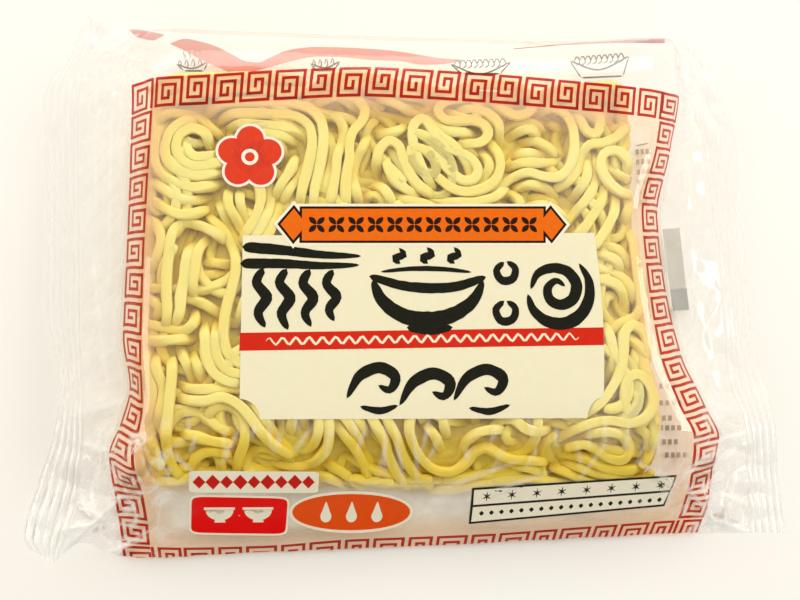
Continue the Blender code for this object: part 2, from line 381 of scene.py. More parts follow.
def raw_film(run, share, back_sheet):
    """One sheet of film: cross sections blend from the flat seal to the full section over the
    noodles by RISE, and folds, crumples and a soft slackness lie on top. share goes from 0 at the
    back crease to 1 at the front one."""
    rise = along_pair(RISE, run)
    back = along_pair(BACK_CREASE, run)
    front = along_pair(FRONT_CREASE, run)
    shares, places, heights = np.array(TOP_SECTION).T
    flat = 0.35 * np.cos(np.pi * share) + 0.65 * (1 - 2 * share)
    if back_sheet:
        place = flat + 0 * run
        level = along_pair(BACK_SECTION, flat)
    else:
        place = flat + (through(shares, places, share) - flat) * rise
        level = through(shares, heights, share)
    across = (back + front) / 2 + (back - front) / 2 * place
    x = place_along(run + 0 * across, across)
    skin = (-0.5 if back_sheet else 0.5) * SHEET_GAP * np.sin(np.pi * np.clip(share, 0, 1)) ** 0.25
    seal = along_pair(SEAL_LIFT, across) + crimp(run, across)
    lift = seal + (level * CROWN - seal) * rise + skin
    if not back_sheet:
        slack = (1 - rise) * np.sin(np.pi * np.clip(rise, 0, 1)) * 1.2 + 0.05
        lift = lift + folds(x, across) + crumples(x, across) + slack * smooth_noise(x, across, 16, 5)
    return np.stack([x, across, lift], axis=-1)


def box_fit():
    """The small move that lays the film's own box on the solid's box."""
    shares = np.linspace(0, 1, 120)
    runs = np.linspace(LEFT_END, RIGHT_END, 240)
    points = raw_film(runs[:, None], shares[None, :], False).reshape(-1, 3)
    middle = (points.min(axis=0) + points.max(axis=0)) / 2
    target = (box_low + box_high) / 2 / MM
    return np.array([target[0] - middle[0], target[1] - middle[1], box_low[2] / MM + SHEET_GAP / 2])


FIT = box_fit()


def film_grid(runs, shares, back_sheet=False):
    """Points of one sheet of film over a grid of runs by shares."""
    return raw_film(runs[:, None], shares[None, :], back_sheet) + FIT


def print_table():
    """The front film resampled so that its columns lie at even girths: girth runs along each cross
    section from the printed frame's back edge, over the top and round the front crease, stretched
    a little so that the frame's front band lies where FRAME_FRONT says. It holds points, outward
    normals and the girth of the front crease at each run."""
    runs = np.arange(LEFT_END, RIGHT_END + 0.01, 0.8)
    shares = np.linspace(0, 1, 260)
    under = np.linspace(1, 0.75, 60)[1:]
    points = np.concatenate([film_grid(runs, shares), film_grid(runs, under, True)], axis=1)
    steps = np.linalg.norm(np.diff(points, axis=1), axis=2)
    length = np.concatenate([np.zeros((len(runs), 1)), np.cumsum(steps, axis=1)], axis=1)
    girths = np.arange(-16, PRINT_GIRTH + 6, 0.8)
    rows, creases = [], []
    for row, run in enumerate(runs):
        across = points[row, :len(shares), 1]
        start = np.interp(-along_pair(FRAME_BACK, run), -across, length[row, :len(shares)])
        stop = np.interp(-along_pair(FRAME_FRONT, run), -across, length[row, :len(shares)])
        wanted = start + girths * (stop - start) / (PRINT_GIRTH - UNIT)
        rows.append(np.stack([np.interp(wanted, length[row], points[row, :, k]) for k in range(3)], 1))
        crease = length[row, len(shares) - 1] - start
        creases.append(crease / (stop - start) * (PRINT_GIRTH - UNIT))
    table = np.stack(rows)
    normal = np.cross(np.gradient(table, axis=1), np.gradient(table, axis=0))
    normal /= np.linalg.norm(normal, axis=2, keepdims=True) + 1e-9
    return runs, girths, table, normal, np.array(creases)


PRINT_RUNS, PRINT_GIRTHS, PRINT_POINTS, PRINT_NORMALS, CREASE_GIRTHS = print_table()


def on_film(run, girth, lift):
    """Points on the front film at runs and girths, blended from the four table points round each,
    and moved by lift along the film's normal."""
    i, u = table_place(run, PRINT_RUNS)
    j, v = table_place(girth, PRINT_GIRTHS)
    u, v = u[..., None], v[..., None]
    return blended(PRINT_POINTS, i, j, u, v) + lift * blended(PRINT_NORMALS, i, j, u, v)


def solve(value_at, low, high, target):
    """Where a rising function reaches the target, found by halving the interval again and again."""
    low = np.full(np.shape(target), float(low))
    high = np.full(np.shape(target), float(high))
    for _ in range(24):
        middle = (low + high) / 2
        below = value_at(middle) < target
        low = np.where(below, middle, low)
        high = np.where(below, high, middle)
    return (low + high) / 2


# Places on a plan of the pack, one millimetre apart, for looking up the films' heights
PLAN_X = np.arange(-112.0, 108.0)
PLAN_Y = np.arange(-86.0, 86.0)


def plan_heights(back_sheet):
    """The film's height over each place on the plan: first the run whose film lies at that X, then
    the share of the way round whose film lies at that Y."""
    x, y = np.meshgrid(PLAN_X, PLAN_Y, indexing="ij")
    own_x, own_y = x - FIT[0], y - FIT[1]
    run = solve(lambda runs: place_along(runs, own_y), LEFT_END, RIGHT_END, own_x)
    share = solve(lambda shares: -raw_film(run, shares, back_sheet)[..., 1], 0, 1, -own_y)
    return raw_film(run, share, back_sheet)[..., 2] + FIT[2]


def look_up(heights, x, y):
    """A height from a plan table, blended from the four values round each place."""
    i, u = table_place(x, PLAN_X)
    j, v = table_place(y, PLAN_Y)
    return blended(heights, i, j, u, v)


FRONT_HEIGHTS = plan_heights(False)
BACK_HEIGHTS = plan_heights(True)


# ------------------------------------------------------------------ making meshes
def grid_faces(rows, columns, wrap=False, start=0):
    """Quads over a grid of rows by columns, whose columns may close on themselves."""
    i = np.arange(rows - 1)[:, None]
    j = np.arange(columns if wrap else columns - 1)[None, :]
    k = (j + 1) % columns
    here, ahead = i * columns, (i + 1) * columns
    return np.stack([here + j, ahead + j, ahead + k, here + k], -1).reshape(-1, 4) + start


def make_piece(name, points, faces, material, tone=None):
    """A mesh object from points in millimetres and a list of faces, riding on the pack. tone is a
    number for each point, which its material may read."""
    mesh = bpy.data.meshes.new(name)
    mesh.from_pydata((np.asarray(points).reshape(-1, 3) * MM).tolist(), [], faces)
    mesh.shade_smooth()
    if tone is not None:
        layer = mesh.attributes.new("tone", "FLOAT", "POINT")
        layer.data.foreach_set("value", np.asarray(tone, np.float32).ravel())
    piece = bpy.data.objects.new(name, mesh)
    bpy.context.collection.objects.link(piece)
    piece.data.materials.append(material)
    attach(piece, "root")
    return piece


def make_sheet(name, grids, material, tones=None):
    """One mesh from several grids of points, each seen from above."""
    points, faces = [], []
    start = 0
    for grid in grids:
        quads = grid_faces(*grid.shape[:2], start=start)
        a, b, c = grid[0, 0], grid[1, 0], grid[0, 1]
        if np.cross(b - a, c - a)[2] < 0:
            quads = quads[:, ::-1]
        points.append(grid.reshape(-1, 3))
        faces += quads.tolist()
        start += len(points[-1])
    tone = None if tones is None else np.concatenate([values.ravel() for values in tones])
    return make_piece(name, np.concatenate(points), faces, material, tone)


# ------------------------------------------------------------------ flat shapes on the plan
def quad(corners, spacing=1.5):
    """A four-sided shape as a grid: its corners in turn, with straight lines between them."""
    a, b, c, d = np.array(corners, float)
    columns = int(max(np.linalg.norm(b - a), np.linalg.norm(c - d)) / spacing) + 2
    rows = int(max(np.linalg.norm(d - a), np.linalg.norm(c - b)) / spacing) + 2
    u = np.linspace(0, 1, columns)[None, :, None]
    v = np.linspace(0, 1, rows)[:, None, None]
    return (1 - v) * ((1 - u) * a + u * b) + v * ((1 - u) * d + u * c)


def grown(corners, by):
    """The corners of a convex outline after every side has moved outwards by a distance."""
    corners = np.array(corners, float)
    sides = np.roll(corners, -1, axis=0) - corners
    turn = np.sign(np.cross(sides[0], sides[1]))
    out = turn * np.stack([sides[:, 1], -sides[:, 0]], axis=1) / np.linalg.norm(sides, axis=1)[:, None]
    before = np.roll(out, 1, axis=0)
    return corners + by * (out + before) / (1 + (out * before).sum(axis=1))[:, None]


def oval(centre, along, across, squareness=2.0, turns=40, rings=6):
    """A superellipse filled from its centre: along and across are its two half axes, as arrows."""
    u, v = superellipse(np.linspace(0, 2 * np.pi, turns + 1), squareness)
    edge = u[:, None] * np.array(along, float) + v[:, None] * np.array(across, float)
    return np.array(centre, float) + np.linspace(0.02, 1, rings)[:, None, None] * edge[None]


def stroke(places, width, start=0.6, end=0.5, rough=0.0, seed=0, spacing=0.9):
    """A line drawn along the places: start and end say how blunt its ends are, from 0, pointed, to
    1, square, and rough how far its edges wander."""
    path = smooth_route(places, spacing)
    along = np.linspace(0, 1, len(path))
    blunt = np.where(along < 0.5, start, end)
    taper = (1 - np.abs(2 * along - 1) ** (2 + 10 * blunt)) ** 0.5
    widths = np.atleast_1d(width)
    half = np.interp(along, np.linspace(0, 1, len(widths)), widths) / 2
    columns = np.linspace(-1, 1, 5)
    wander = rough * smooth_noise(path[:, :1] + 9 * columns, path[:, 1:] - 7 * columns, 3.0, seed)
    reach = columns * (half * (taper + 0.03))[:, None] * (1 + wander)
    return path[:, None] + reach[..., None] * sideways(path)[:, None]


def arrows(angle):
    """The arrow at an angle on the plan, and the one square to it."""
    way = np.array((np.cos(angle), np.sin(angle)))
    return way, np.array((-way[1], way[0]))


def middle_line(corners):
    """The middles of the left and right end of a bar whose corners start at the back left."""
    a, b, c, d = np.array(corners, float)
    return a / 2 + d / 2, b / 2 + c / 2


def on_front(shape, lift):
    """A flat shape laid on the front film."""
    x, y = shape[..., 0], shape[..., 1]
    return np.stack([x, y, look_up(FRONT_HEIGHTS, x, y) + lift], axis=-1)


def printed(shapes, layer):
    """Shapes from the plan laid under the front film, in one layer of ink."""
    return [on_front(shape, UNDER[layer]) for shape in shapes]


def on_back(shape, lift=0.08):
    """A flat shape laid on the inside of the back film."""
    x, y = shape[..., 0], shape[..., 1]
    return np.stack([x, y, look_up(BACK_HEIGHTS, x, y) + lift], axis=-1)


# Depths of the layers under the front film, millimetres: the painted veil and the layers of ink
UNDER = {"painted_veil": -0.27, "ground": -0.24, "drawing": -0.21, "halo": -0.18, "outline": -0.155,
         "fill": -0.13, "mark": -0.105, "top": -0.08}


# ------------------------------------------------------------------ finishes
def add_node(tree, kind, inputs=(), links=(), **settings):
    """Adds a shader node with its settings, its input values and the sockets linked into it."""
    node = tree.nodes.new("ShaderNode" + kind)
    for name, value in settings.items():
        setattr(node, name, value)
    for name, value in dict(inputs).items():
        node.inputs[name].default_value = value
    for name, socket in dict(links).items():
        tree.links.new(socket, node.inputs[name])
    return node


def new_material(name):
    """An empty material and its node tree."""
    material = bpy.data.materials.new(name)
    material.use_nodes = True
    material.node_tree.nodes.clear()
    return material, material.node_tree


def finish_material(tree, shader):
    """Makes a shader the surface of its material."""
    add_node(tree, "OutputMaterial", links={"Surface": shader.outputs[0]})


def object_noise(tree, size, detail=2.0):
    """Noise whose cells are about size millimetres across, fixed to the object."""
    place = add_node(tree, "TexCoord")
    return add_node(tree, "TexNoise", {"Scale": 1 / (size * MM), "Detail": detail},
                    {"Vector": place.outputs["Object"]})


def mesh_tone(tree):
    """The socket with the tone that the mesh carries."""
    return add_node(tree, "Attribute", attribute_name="tone").outputs["Fac"]


def mixed_colour(tree, factor, first, second):
    """A colour between two hex colours, by a socket from 0 to 1."""
    mix = add_node(tree, "Mix", data_type="RGBA")
    tree.links.new(factor, mix.inputs[0])
    mix.inputs[6].default_value = linear(first)
    mix.inputs[7].default_value = linear(second)
    return mix.outputs[2]


def mixed_shader(tree, factor, first, second):
    """A mix of two shaders, by a number or a socket from 0 to 1."""
    mix = add_node(tree, "MixShader")
    if isinstance(factor, float):
        mix.inputs[0].default_value = factor
    else:
        tree.links.new(factor, mix.inputs[0])
    tree.links.new(first.outputs[0], mix.inputs[1])
    tree.links.new(second.outputs[0], mix.inputs[2])
    return mix


FILM_INDEX = 1.49                   # polypropylene
WHITENING = 0.75                    # what a tone of 1 adds to the haze, as painted highlight and painted light


def clear_film(name, haze, roughness, wave_mm, wave_strength):
    """Clear cast polypropylene film: see-through and glossy, with a slight haze. Above a half the
    tone whitens it with painted highlights and painted light, and below a half it greys what shows
    through as painted shade. On the sheet's back the index is turned over, so that it never mirrors
    everything."""
    material, tree = new_material(name)
    tone = mesh_tone(tree)
    white = add_node(tree, "MapRange",
                     {"From Min": 0.5, "From Max": 1.0, "To Min": haze, "To Max": haze + WHITENING},
                     {"Value": tone})
    # Below a half the tone darkens what shows through the film: painted shade
    grey = add_node(tree, "MapRange", {"From Min": 0.0, "From Max": 0.5},
                    {"Value": tone})
    clear = add_node(tree, "BsdfTransparent",
                     links={"Color": mixed_colour(tree, grey.outputs[0], "#a8a394", "#ffffff")})
    ripple = object_noise(tree, wave_mm)
    bump = add_node(tree, "Bump", {"Strength": wave_strength, "Distance": 0.0006},
                    {"Height": ripple.outputs["Fac"]})
    milk = add_node(tree, "BsdfDiffuse", {"Color": linear("#fefefc")})
    body = mixed_shader(tree, white.outputs[0], clear, milk)
    shine = add_node(tree, "BsdfGlossy", {"Roughness": roughness},
                     {"Normal": bump.outputs[0]})
    side = add_node(tree, "NewGeometry")
    index = add_node(tree, "MapRange", {"To Min": FILM_INDEX, "To Max": 1 / FILM_INDEX},
                     {"Value": side.outputs["Backfacing"]})
    edge = add_node(tree, "Fresnel",
                    links={"IOR": index.outputs[0], "Normal": bump.outputs[0]})
    finish_material(tree, mixed_shader(tree, edge.outputs[0], body, shine))
    return material


def ink(name, dark, light, cover=1.0, filter_colour=None):
    """Matt ink printed on the inside of the film, slightly mottled. cover is how much of it is
    solid; the rest tints what shows through it."""
    material, tree = new_material(name)
    mottle = object_noise(tree, 1.6, 3.0)
    shader = add_node(tree, "BsdfPrincipled", {"Roughness": 0.6, "Specular IOR Level": 0.0},
                      {"Base Color": mixed_colour(tree, mottle.outputs["Fac"], dark, light)})
    if cover < 1.0:
        glaze = add_node(tree, "BsdfTransparent", {"Color": linear(filter_colour)})
        shader = mixed_shader(tree, cover, glaze, shader)
    finish_material(tree, shader)
    return material


TINT_COVER = 0.46                   # how much of the tint is solid where it is strongest


def tint_ink(name, body, filter_colour):
    """A thin half-covering tint that fades out with the tone of the mesh: part of it is solid
    and the rest tints what shows through."""
    material, tree = new_material(name)
    tone = mesh_tone(tree)
    solid = add_node(tree, "Math", {1: TINT_COVER}, {0: tone}, operation="MULTIPLY")
    glaze = add_node(tree, "BsdfTransparent",
                     links={"Color": mixed_colour(tree, tone, "#ffffff", filter_colour)})
    veil = add_node(tree, "BsdfDiffuse", {"Color": linear(body)})
    finish_material(tree, mixed_shader(tree, solid.outputs[0], glaze, veil))
    return material


# ------------------------------------------------------------------ pieces: the film
def show_only_to_view(piece):
    """Lets light through the film unweakened, as the even light of a bright room does."""
    piece.visible_shadow = False
    piece.visible_diffuse = False


# The margins' extra milkiness is painted light: it makes up for the reflection of a bright room that the
# film would show.
MARGIN_PAINTED_HAZE = 0.25                  # how much milkier the film is beside the print, as painted light, and the share
BACK_PAINTED_HAZE = 0.55                    # of that behind the print
CLEAR = 0.5                         # the tone of clear film
# How strong the painted highlights and painted shade on the ribs of the seals are, by place across the
# pack
RIB_CONTRAST = ((-90, 0.50), (-50, 0.45), (-42, 0.17), (30, 0.08), (88, 0.05))


def front_tone(points, run):
    """The tone of the front film: a half where it is clear, more in the margins round the print as
    painted light, and the painted highlights and shade of the creases.
    """
    x, y = points[..., 0] - FIT[0], points[..., 1] - FIT[1]
    beside = np.clip(-run / 3, 0, 1) + np.clip((run - PRINT_RUN) / 3, 0, 1)
    behind = np.clip((y - along_pair(FRAME_BACK, run)) / 3, 0, 1)
    return CLEAR + MARGIN_PAINTED_HAZE * np.maximum(beside, BACK_PAINTED_HAZE * behind) + crease_highlight_and_shade(x, y)


def seal_tone(points, run):
    """The tone of a crimped seal: its ribs white at the crests as painted highlight, and grey between
    them as painted shade.
    """
    depth, inside = rib_depth(run)
    x, y = points[..., 0] - FIT[0], points[..., 1] - FIT[1]
    uneven = 0.75 + 0.5 * smooth_noise(x, y, 9, 61)
    # white crests and grey valleys of the ribs: painted highlight and painted shade
    rib = -np.cos(2 * np.pi * depth / RIDGE_PITCH)
    return CLEAR + MARGIN_PAINTED_HAZE + along_pair(RIB_CONTRAST, y) * uneven * np.where(inside, rib, 0.0)


def build_film():
    """The front and the back film between the seals, and both crimped end seals, each of an under
    and an over sheet. The front film's grid is finer in its margins than over the noodles."""
    material = clear_film("cast_polypropylene_film", 0.005, 0.05, 5.0, 0.10)
    sealed = clear_film("crimped_film", 0.06, 0.12, 1.5, 0.2)
    fine, coarse, inset = 0.36, 0.9, 6
    runs = np.concatenate([np.arange(LEFT_SEAL_IN, inset, fine),
                           np.arange(inset, PRINT_RUN - inset, coarse),
                           np.arange(PRINT_RUN - inset, RIGHT_SEAL_IN - 0.1, fine), [RIGHT_SEAL_IN]])
    shares = np.linspace(0, 1, 245)
    faces = grid_faces(len(runs), len(shares))
    points = film_grid(runs, shares)
    front = make_piece("film_front", points, faces[:, ::-1].tolist(), material,
                       front_tone(points, runs[:, None]))
    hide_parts("noodle_pack")
    runs = np.linspace(LEFT_SEAL_IN, RIGHT_SEAL_IN, 160)
    shares = np.linspace(0, 1, 120)
    points = film_grid(runs, shares, True)
    back = make_piece("film_back", points, grid_faces(len(runs), len(shares)).tolist(), material,
                      np.full(points.shape[:2], CLEAR))
    show_only_to_view(front)
    show_only_to_view(back)
    for side, start, stop in (("left", LEFT_END, LEFT_SEAL_IN), ("right", RIGHT_SEAL_IN, RIGHT_END)):
        runs = np.linspace(start, stop, 80)
        shares = np.linspace(0, 1, 170)
        count = len(runs) * len(shares)
        under, over = (film_grid(runs, shares, back_sheet) for back_sheet in (True, False))
        faces = np.concatenate([grid_faces(len(runs), len(shares)),
                                grid_faces(len(runs), len(shares), start=count)[:, ::-1]])
        tones = np.stack([np.full(under.shape[:2], CLEAR), seal_tone(over, runs[:, None])])
        seal = make_piece("end_seal_" + side, np.stack([under, over]).reshape(-1, 3), faces.tolist(),
                          sealed, tones)
        show_only_to_view(seal)


def build_fin_seal():
    """The long seal under the pack, where both edges of the film are welded face to face and folded
    flat: a flat strip along the back film, whose ribs across it are painted in its tone as white and
    grey stripes, painted highlights and painted shade."""
    x = np.linspace(*FIN_X, 320)[:, None]
    y = np.linspace(*FIN_Y, 40)[None, :]
    plan = np.stack([x + 0 * y, y + 0 * x], axis=-1)
    # the ribs are only painted: white and grey stripes of tone, painted highlight and painted shade
    tone = CLEAR + MARGIN_PAINTED_HAZE + 0.2 * np.cos(2 * np.pi * x / FIN_PITCH) + 0 * y
    fin = make_piece("fin_seal", on_back(plan, -0.06), grid_faces(*plan.shape[:2])[:, ::-1].tolist(),
                     clear_film("welded_film", 0.08, 0.12, 1.5, 0.2), tone)
    show_only_to_view(fin)


# ------------------------------------------------------------------ pieces: the printed frame
FRAME_LINE = 0.95                   # width of the frame's lines
PAIR_GAP = 1.2                      # between one pair of squares and the next
PITCH = (2 * UNIT - PAIR_GAP - FRAME_LINE) / 8
# The frame's pattern is a pair of linked square spirals, as the corners of one line on a lattice
SPIRAL_PAIR = ((2, 2), (2, 3), (1, 3), (1, 1), (3, 1), (3, 4), (0, 4), (0, 0), (4, 0), (4, 4), (8, 4),
               (8, 0), (5, 0), (5, 3), (7, 3), (7, 1), (6, 1), (6, 2))
SPIRAL_ONE = SPIRAL_PAIR[:10]


def lattice_cells(corners):
    """The cells that one line covers on a lattice with a line-wide cell at each node and a wider
    cell between each two nodes: low x, high x, low y and high y of each."""
    cells = set()
    for (x0, y0), (x1, y1) in zip(corners[:-1], corners[1:]):
        count = 2 * max(abs(x1 - x0), abs(y1 - y0)) + 1
        xs = np.linspace(2 * x0, 2 * x1, count).round().astype(int)
        ys = np.linspace(2 * y0, 2 * y1, count).round().astype(int)
        cells.update(zip(xs.tolist(), ys.tolist()))
    cells = np.array(sorted(cells))
    low = cells // 2 * PITCH + np.where(cells % 2 == 0, 0.0, FRAME_LINE)
    high = cells // 2 * PITCH + np.where(cells % 2 == 0, FRAME_LINE, PITCH)
    return np.stack([low[:, 0], high[:, 0], low[:, 1], high[:, 1]], axis=1)


def frame_cells():
    """All the cells of the printed frame: single spirals in the corners, pairs between them, and one
    more single spiral in each long band, where one square is left over."""
    pair = lattice_cells(SPIRAL_PAIR)
    one = lattice_cells(SPIRAL_ONE)
    inset = (UNIT - 4 * PITCH - FRAME_LINE) / 2
    groups = []

    def lay(cells, run, girth, quarter_turns):
        x0, x1, y0, y1 = cells.T
        for _ in range(quarter_turns):
            x0, x1, y0, y1 = -y1, -y0, x0, x1
        groups.append(np.stack([x0 - x0.min() + run, x1 - x0.min() + run,
                                y0 - y0.min() + girth, y1 - y0.min() + girth], axis=1))

    far_run = PRINT_RUN - UNIT + inset
    far_girth = PRINT_GIRTH - UNIT + inset
    for run, girth, turns in ((inset, inset, 0), (far_run, inset, 1), (far_run, far_girth, 2),
                              (inset, far_girth, 3)):
        lay(one, run, girth, turns)
    for k in range(8):
        lay(pair, UNIT * (1 + 2 * k) + PAIR_GAP / 2, inset, 0)
        lay(pair, UNIT * (2 + 2 * k) + PAIR_GAP / 2, far_girth, 2)
    lay(one, UNIT * 17 + PAIR_GAP / 2, inset, 0)
    lay(one, UNIT + inset, far_girth, 2)
    for k in range(7):
        lay(pair, inset, UNIT * (1 + 2 * k) + PAIR_GAP / 2, 1)
        lay(pair, far_run, UNIT * (1 + 2 * k) + PAIR_GAP / 2, 3)
    return np.concatenate(groups)


def build_frame_print():
    """The crimson frame, each of whose cells is one quad laid on the film, as far as the front
    crease; and the peach tint round it, which fades towards the middle."""
    cells = frame_cells()
    crease = np.interp(cells[:, :2].mean(axis=1), PRINT_RUNS, CREASE_GIRTHS)
    shown = cells[:, 2] < crease
    cells, crease = cells[shown], crease[shown]
    cells[:, 3] = np.minimum(cells[:, 3], crease)
    points = on_film(cells[:, [0, 1, 1, 0]], cells[:, [2, 2, 3, 3]], UNDER["mark"])
    faces = np.arange(len(cells) * 4).reshape(-1, 4)[:, ::-1]
    make_piece("printed_key_frame", points, faces.tolist(), crimson_ink())
    runs = np.linspace(0.3, PRINT_RUN - 0.3, 150)
    girths = np.linspace(0.3, PRINT_GIRTH - 0.3, 130)
    run, girth = np.meshgrid(runs, girths, indexing="ij")
    girth = np.minimum(girth, np.interp(run, PRINT_RUNS, CREASE_GIRTHS))
    inward = np.minimum(np.minimum(run, PRINT_RUN - run), np.minimum(girth, PRINT_GIRTH - girth))
    fade = np.clip((TINT_REACH - inward) / (TINT_REACH - UNIT), 0, 1) ** 1.3
    points = on_film(run, girth, UNDER["outline"])
    quads = grid_faces(len(runs), len(girths))[:, ::-1]
    quads = quads[fade.ravel()[quads].max(axis=1) > 0]
    make_piece("printed_tint", points, quads.tolist(), tint_ink("peach_tint_ink", "#ffe2c0", "#fff2e6"),
               fade)


def crimson_ink():
    """Crimson ink that is nearly all glaze: what lies behind it shows."""
    return ink("crimson_line_ink", "#b42436", "#c22e40", 0.03, "#d44a46")


# ------------------------------------------------------------------ pieces: a veil inside the film, painted reflection and painted light
# Where the painted reflection over the noodles ends at the front, as (x, y), and how thick it is along
# the pack
VEIL_EDGE = ((-90, -48.0), (-60, -50.0), (0, -51.5), (40, -53.5), (80, -56.0))
VEIL_TONE = ((-83, 0.5), (20, 0.5), (60, 1.0), (75, 1.0))
VEIL_BACK = 60                       # its back edge
# The thicker veil in front of the noodles, painted light in their shade: its ends, its front and back
# edge, and its tone
APRON_X = (-89, 91)
APRON_Y = (-80, -62)
APRON_PAINTED_LIGHT = 5.6


def build_painted_veil():
    """A milky veil on the inside of the film: thin where it lies on the noodles, as far as the front
    shoulder, a painted reflection of the bright room, and thicker where it hangs free in front of
    them, painted light in their shade."""
    material, tree = new_material("painted_reflection_veil")
    cloud = object_noise(tree, 12, 3.0)
    cover = add_node(tree, "MapRange", {"To Min": 0.02, "To Max": 0.24},
                     {"Value": cloud.outputs["Fac"]})
    tone = mesh_tone(tree)
    thick = add_node(tree, "Math", {}, {0: cover.outputs[0], 1: tone}, operation="MULTIPLY")
    clear = add_node(tree, "BsdfTransparent")
    milk = add_node(tree, "BsdfDiffuse", {"Color": linear("#fff8ea")})
    finish_material(tree, mixed_shader(tree, thick.outputs[0], clear, milk))
    x = np.linspace(VEIL_TONE[0][0], VEIL_TONE[-1][0], 80)[None, :]
    share = np.linspace(0, 1, 60)[:, None]
    low = along_pair(VEIL_EDGE, x)
    y = low + share * (VEIL_BACK - low)
    plateau_veil = on_front(np.stack([x + 0 * y, y], axis=-1), UNDER["painted_veil"])
    tone = along_pair(VEIL_TONE, x) * np.clip((y - low) / 2, 0, 1)
    x = np.linspace(*APRON_X, 70)[None, :]
    y = np.linspace(*APRON_Y, 24)[:, None]
    apron = on_front(np.stack([x + 0 * y, y + 0 * x], axis=-1), UNDER["painted_veil"])
    ends = np.clip((89 - np.abs(x - 1)) / 6, 0, 1)
    apron_light = APRON_PAINTED_LIGHT * ends * np.clip((APRON_Y[1] - y) / 7, 0, 1) * np.clip((y - APRON_Y[0]) / 3, 0, 1)
    veil_piece = make_sheet("painted_light_veil", [plateau_veil, apron], material, [tone, apron_light])
    show_only_to_view(veil_piece)


# ------------------------------------------------------------------ pieces: the printed label
LABEL_TOP = ((-55.0, 10.1), (54.0, 13.3))          # ends of its back edge, then of its front edge
LABEL_BOTTOM = ((-54.6, -45.4), (55.0, -44.4))
LABEL_BULGE = 1.4                   # how far the right edge bows outwards
SCOOP = 6.0                         # radius of the hollow corners at the front


def label_shape():
    """The label's ground: side edges that run straight, or bowed by a sine on the right, and end in
    quarter circles hollowed out of the two front corners."""
    v = np.concatenate([np.linspace(0, 0.87, 40), np.linspace(0.88, 1, 26)])
    u = np.linspace(0, 1, 75)
    height = LABEL_TOP[0][1] - LABEL_BOTTOM[0][1]
    to_bottom = (1 - v) * height
    scoop = np.sqrt(np.clip(SCOOP ** 2 - to_bottom ** 2, 0, None))
    left = LABEL_TOP[0][0] + v * (LABEL_BOTTOM[0][0] - LABEL_TOP[0][0]) + scoop
    right = (LABEL_TOP[1][0] + v * (LABEL_BOTTOM[1][0] - LABEL_TOP[1][0])
             + LABEL_BULGE * np.sin(np.pi * v) - 0.8 * scoop)
    x = left[:, None] + u * (right - left)[:, None]
    share = (x - LABEL_TOP[0][0]) / (LABEL_TOP[1][0] - LABEL_TOP[0][0])
    top = LABEL_TOP[0][1] + share * (LABEL_TOP[1][1] - LABEL_TOP[0][1])
    bottom = LABEL_BOTTOM[0][1] + share * (LABEL_BOTTOM[1][1] - LABEL_BOTTOM[0][1])
    return np.stack([x, top + v[:, None] * (bottom - top)], axis=-1)


BRUSH_WANDER = 0.10                 # wandering of its brush strokes' edges, as a share of their width
STRIPE = ((-55.1, -19.7), (55.9, -16.6), (55.9, -22.1), (-55.1, -25.1))
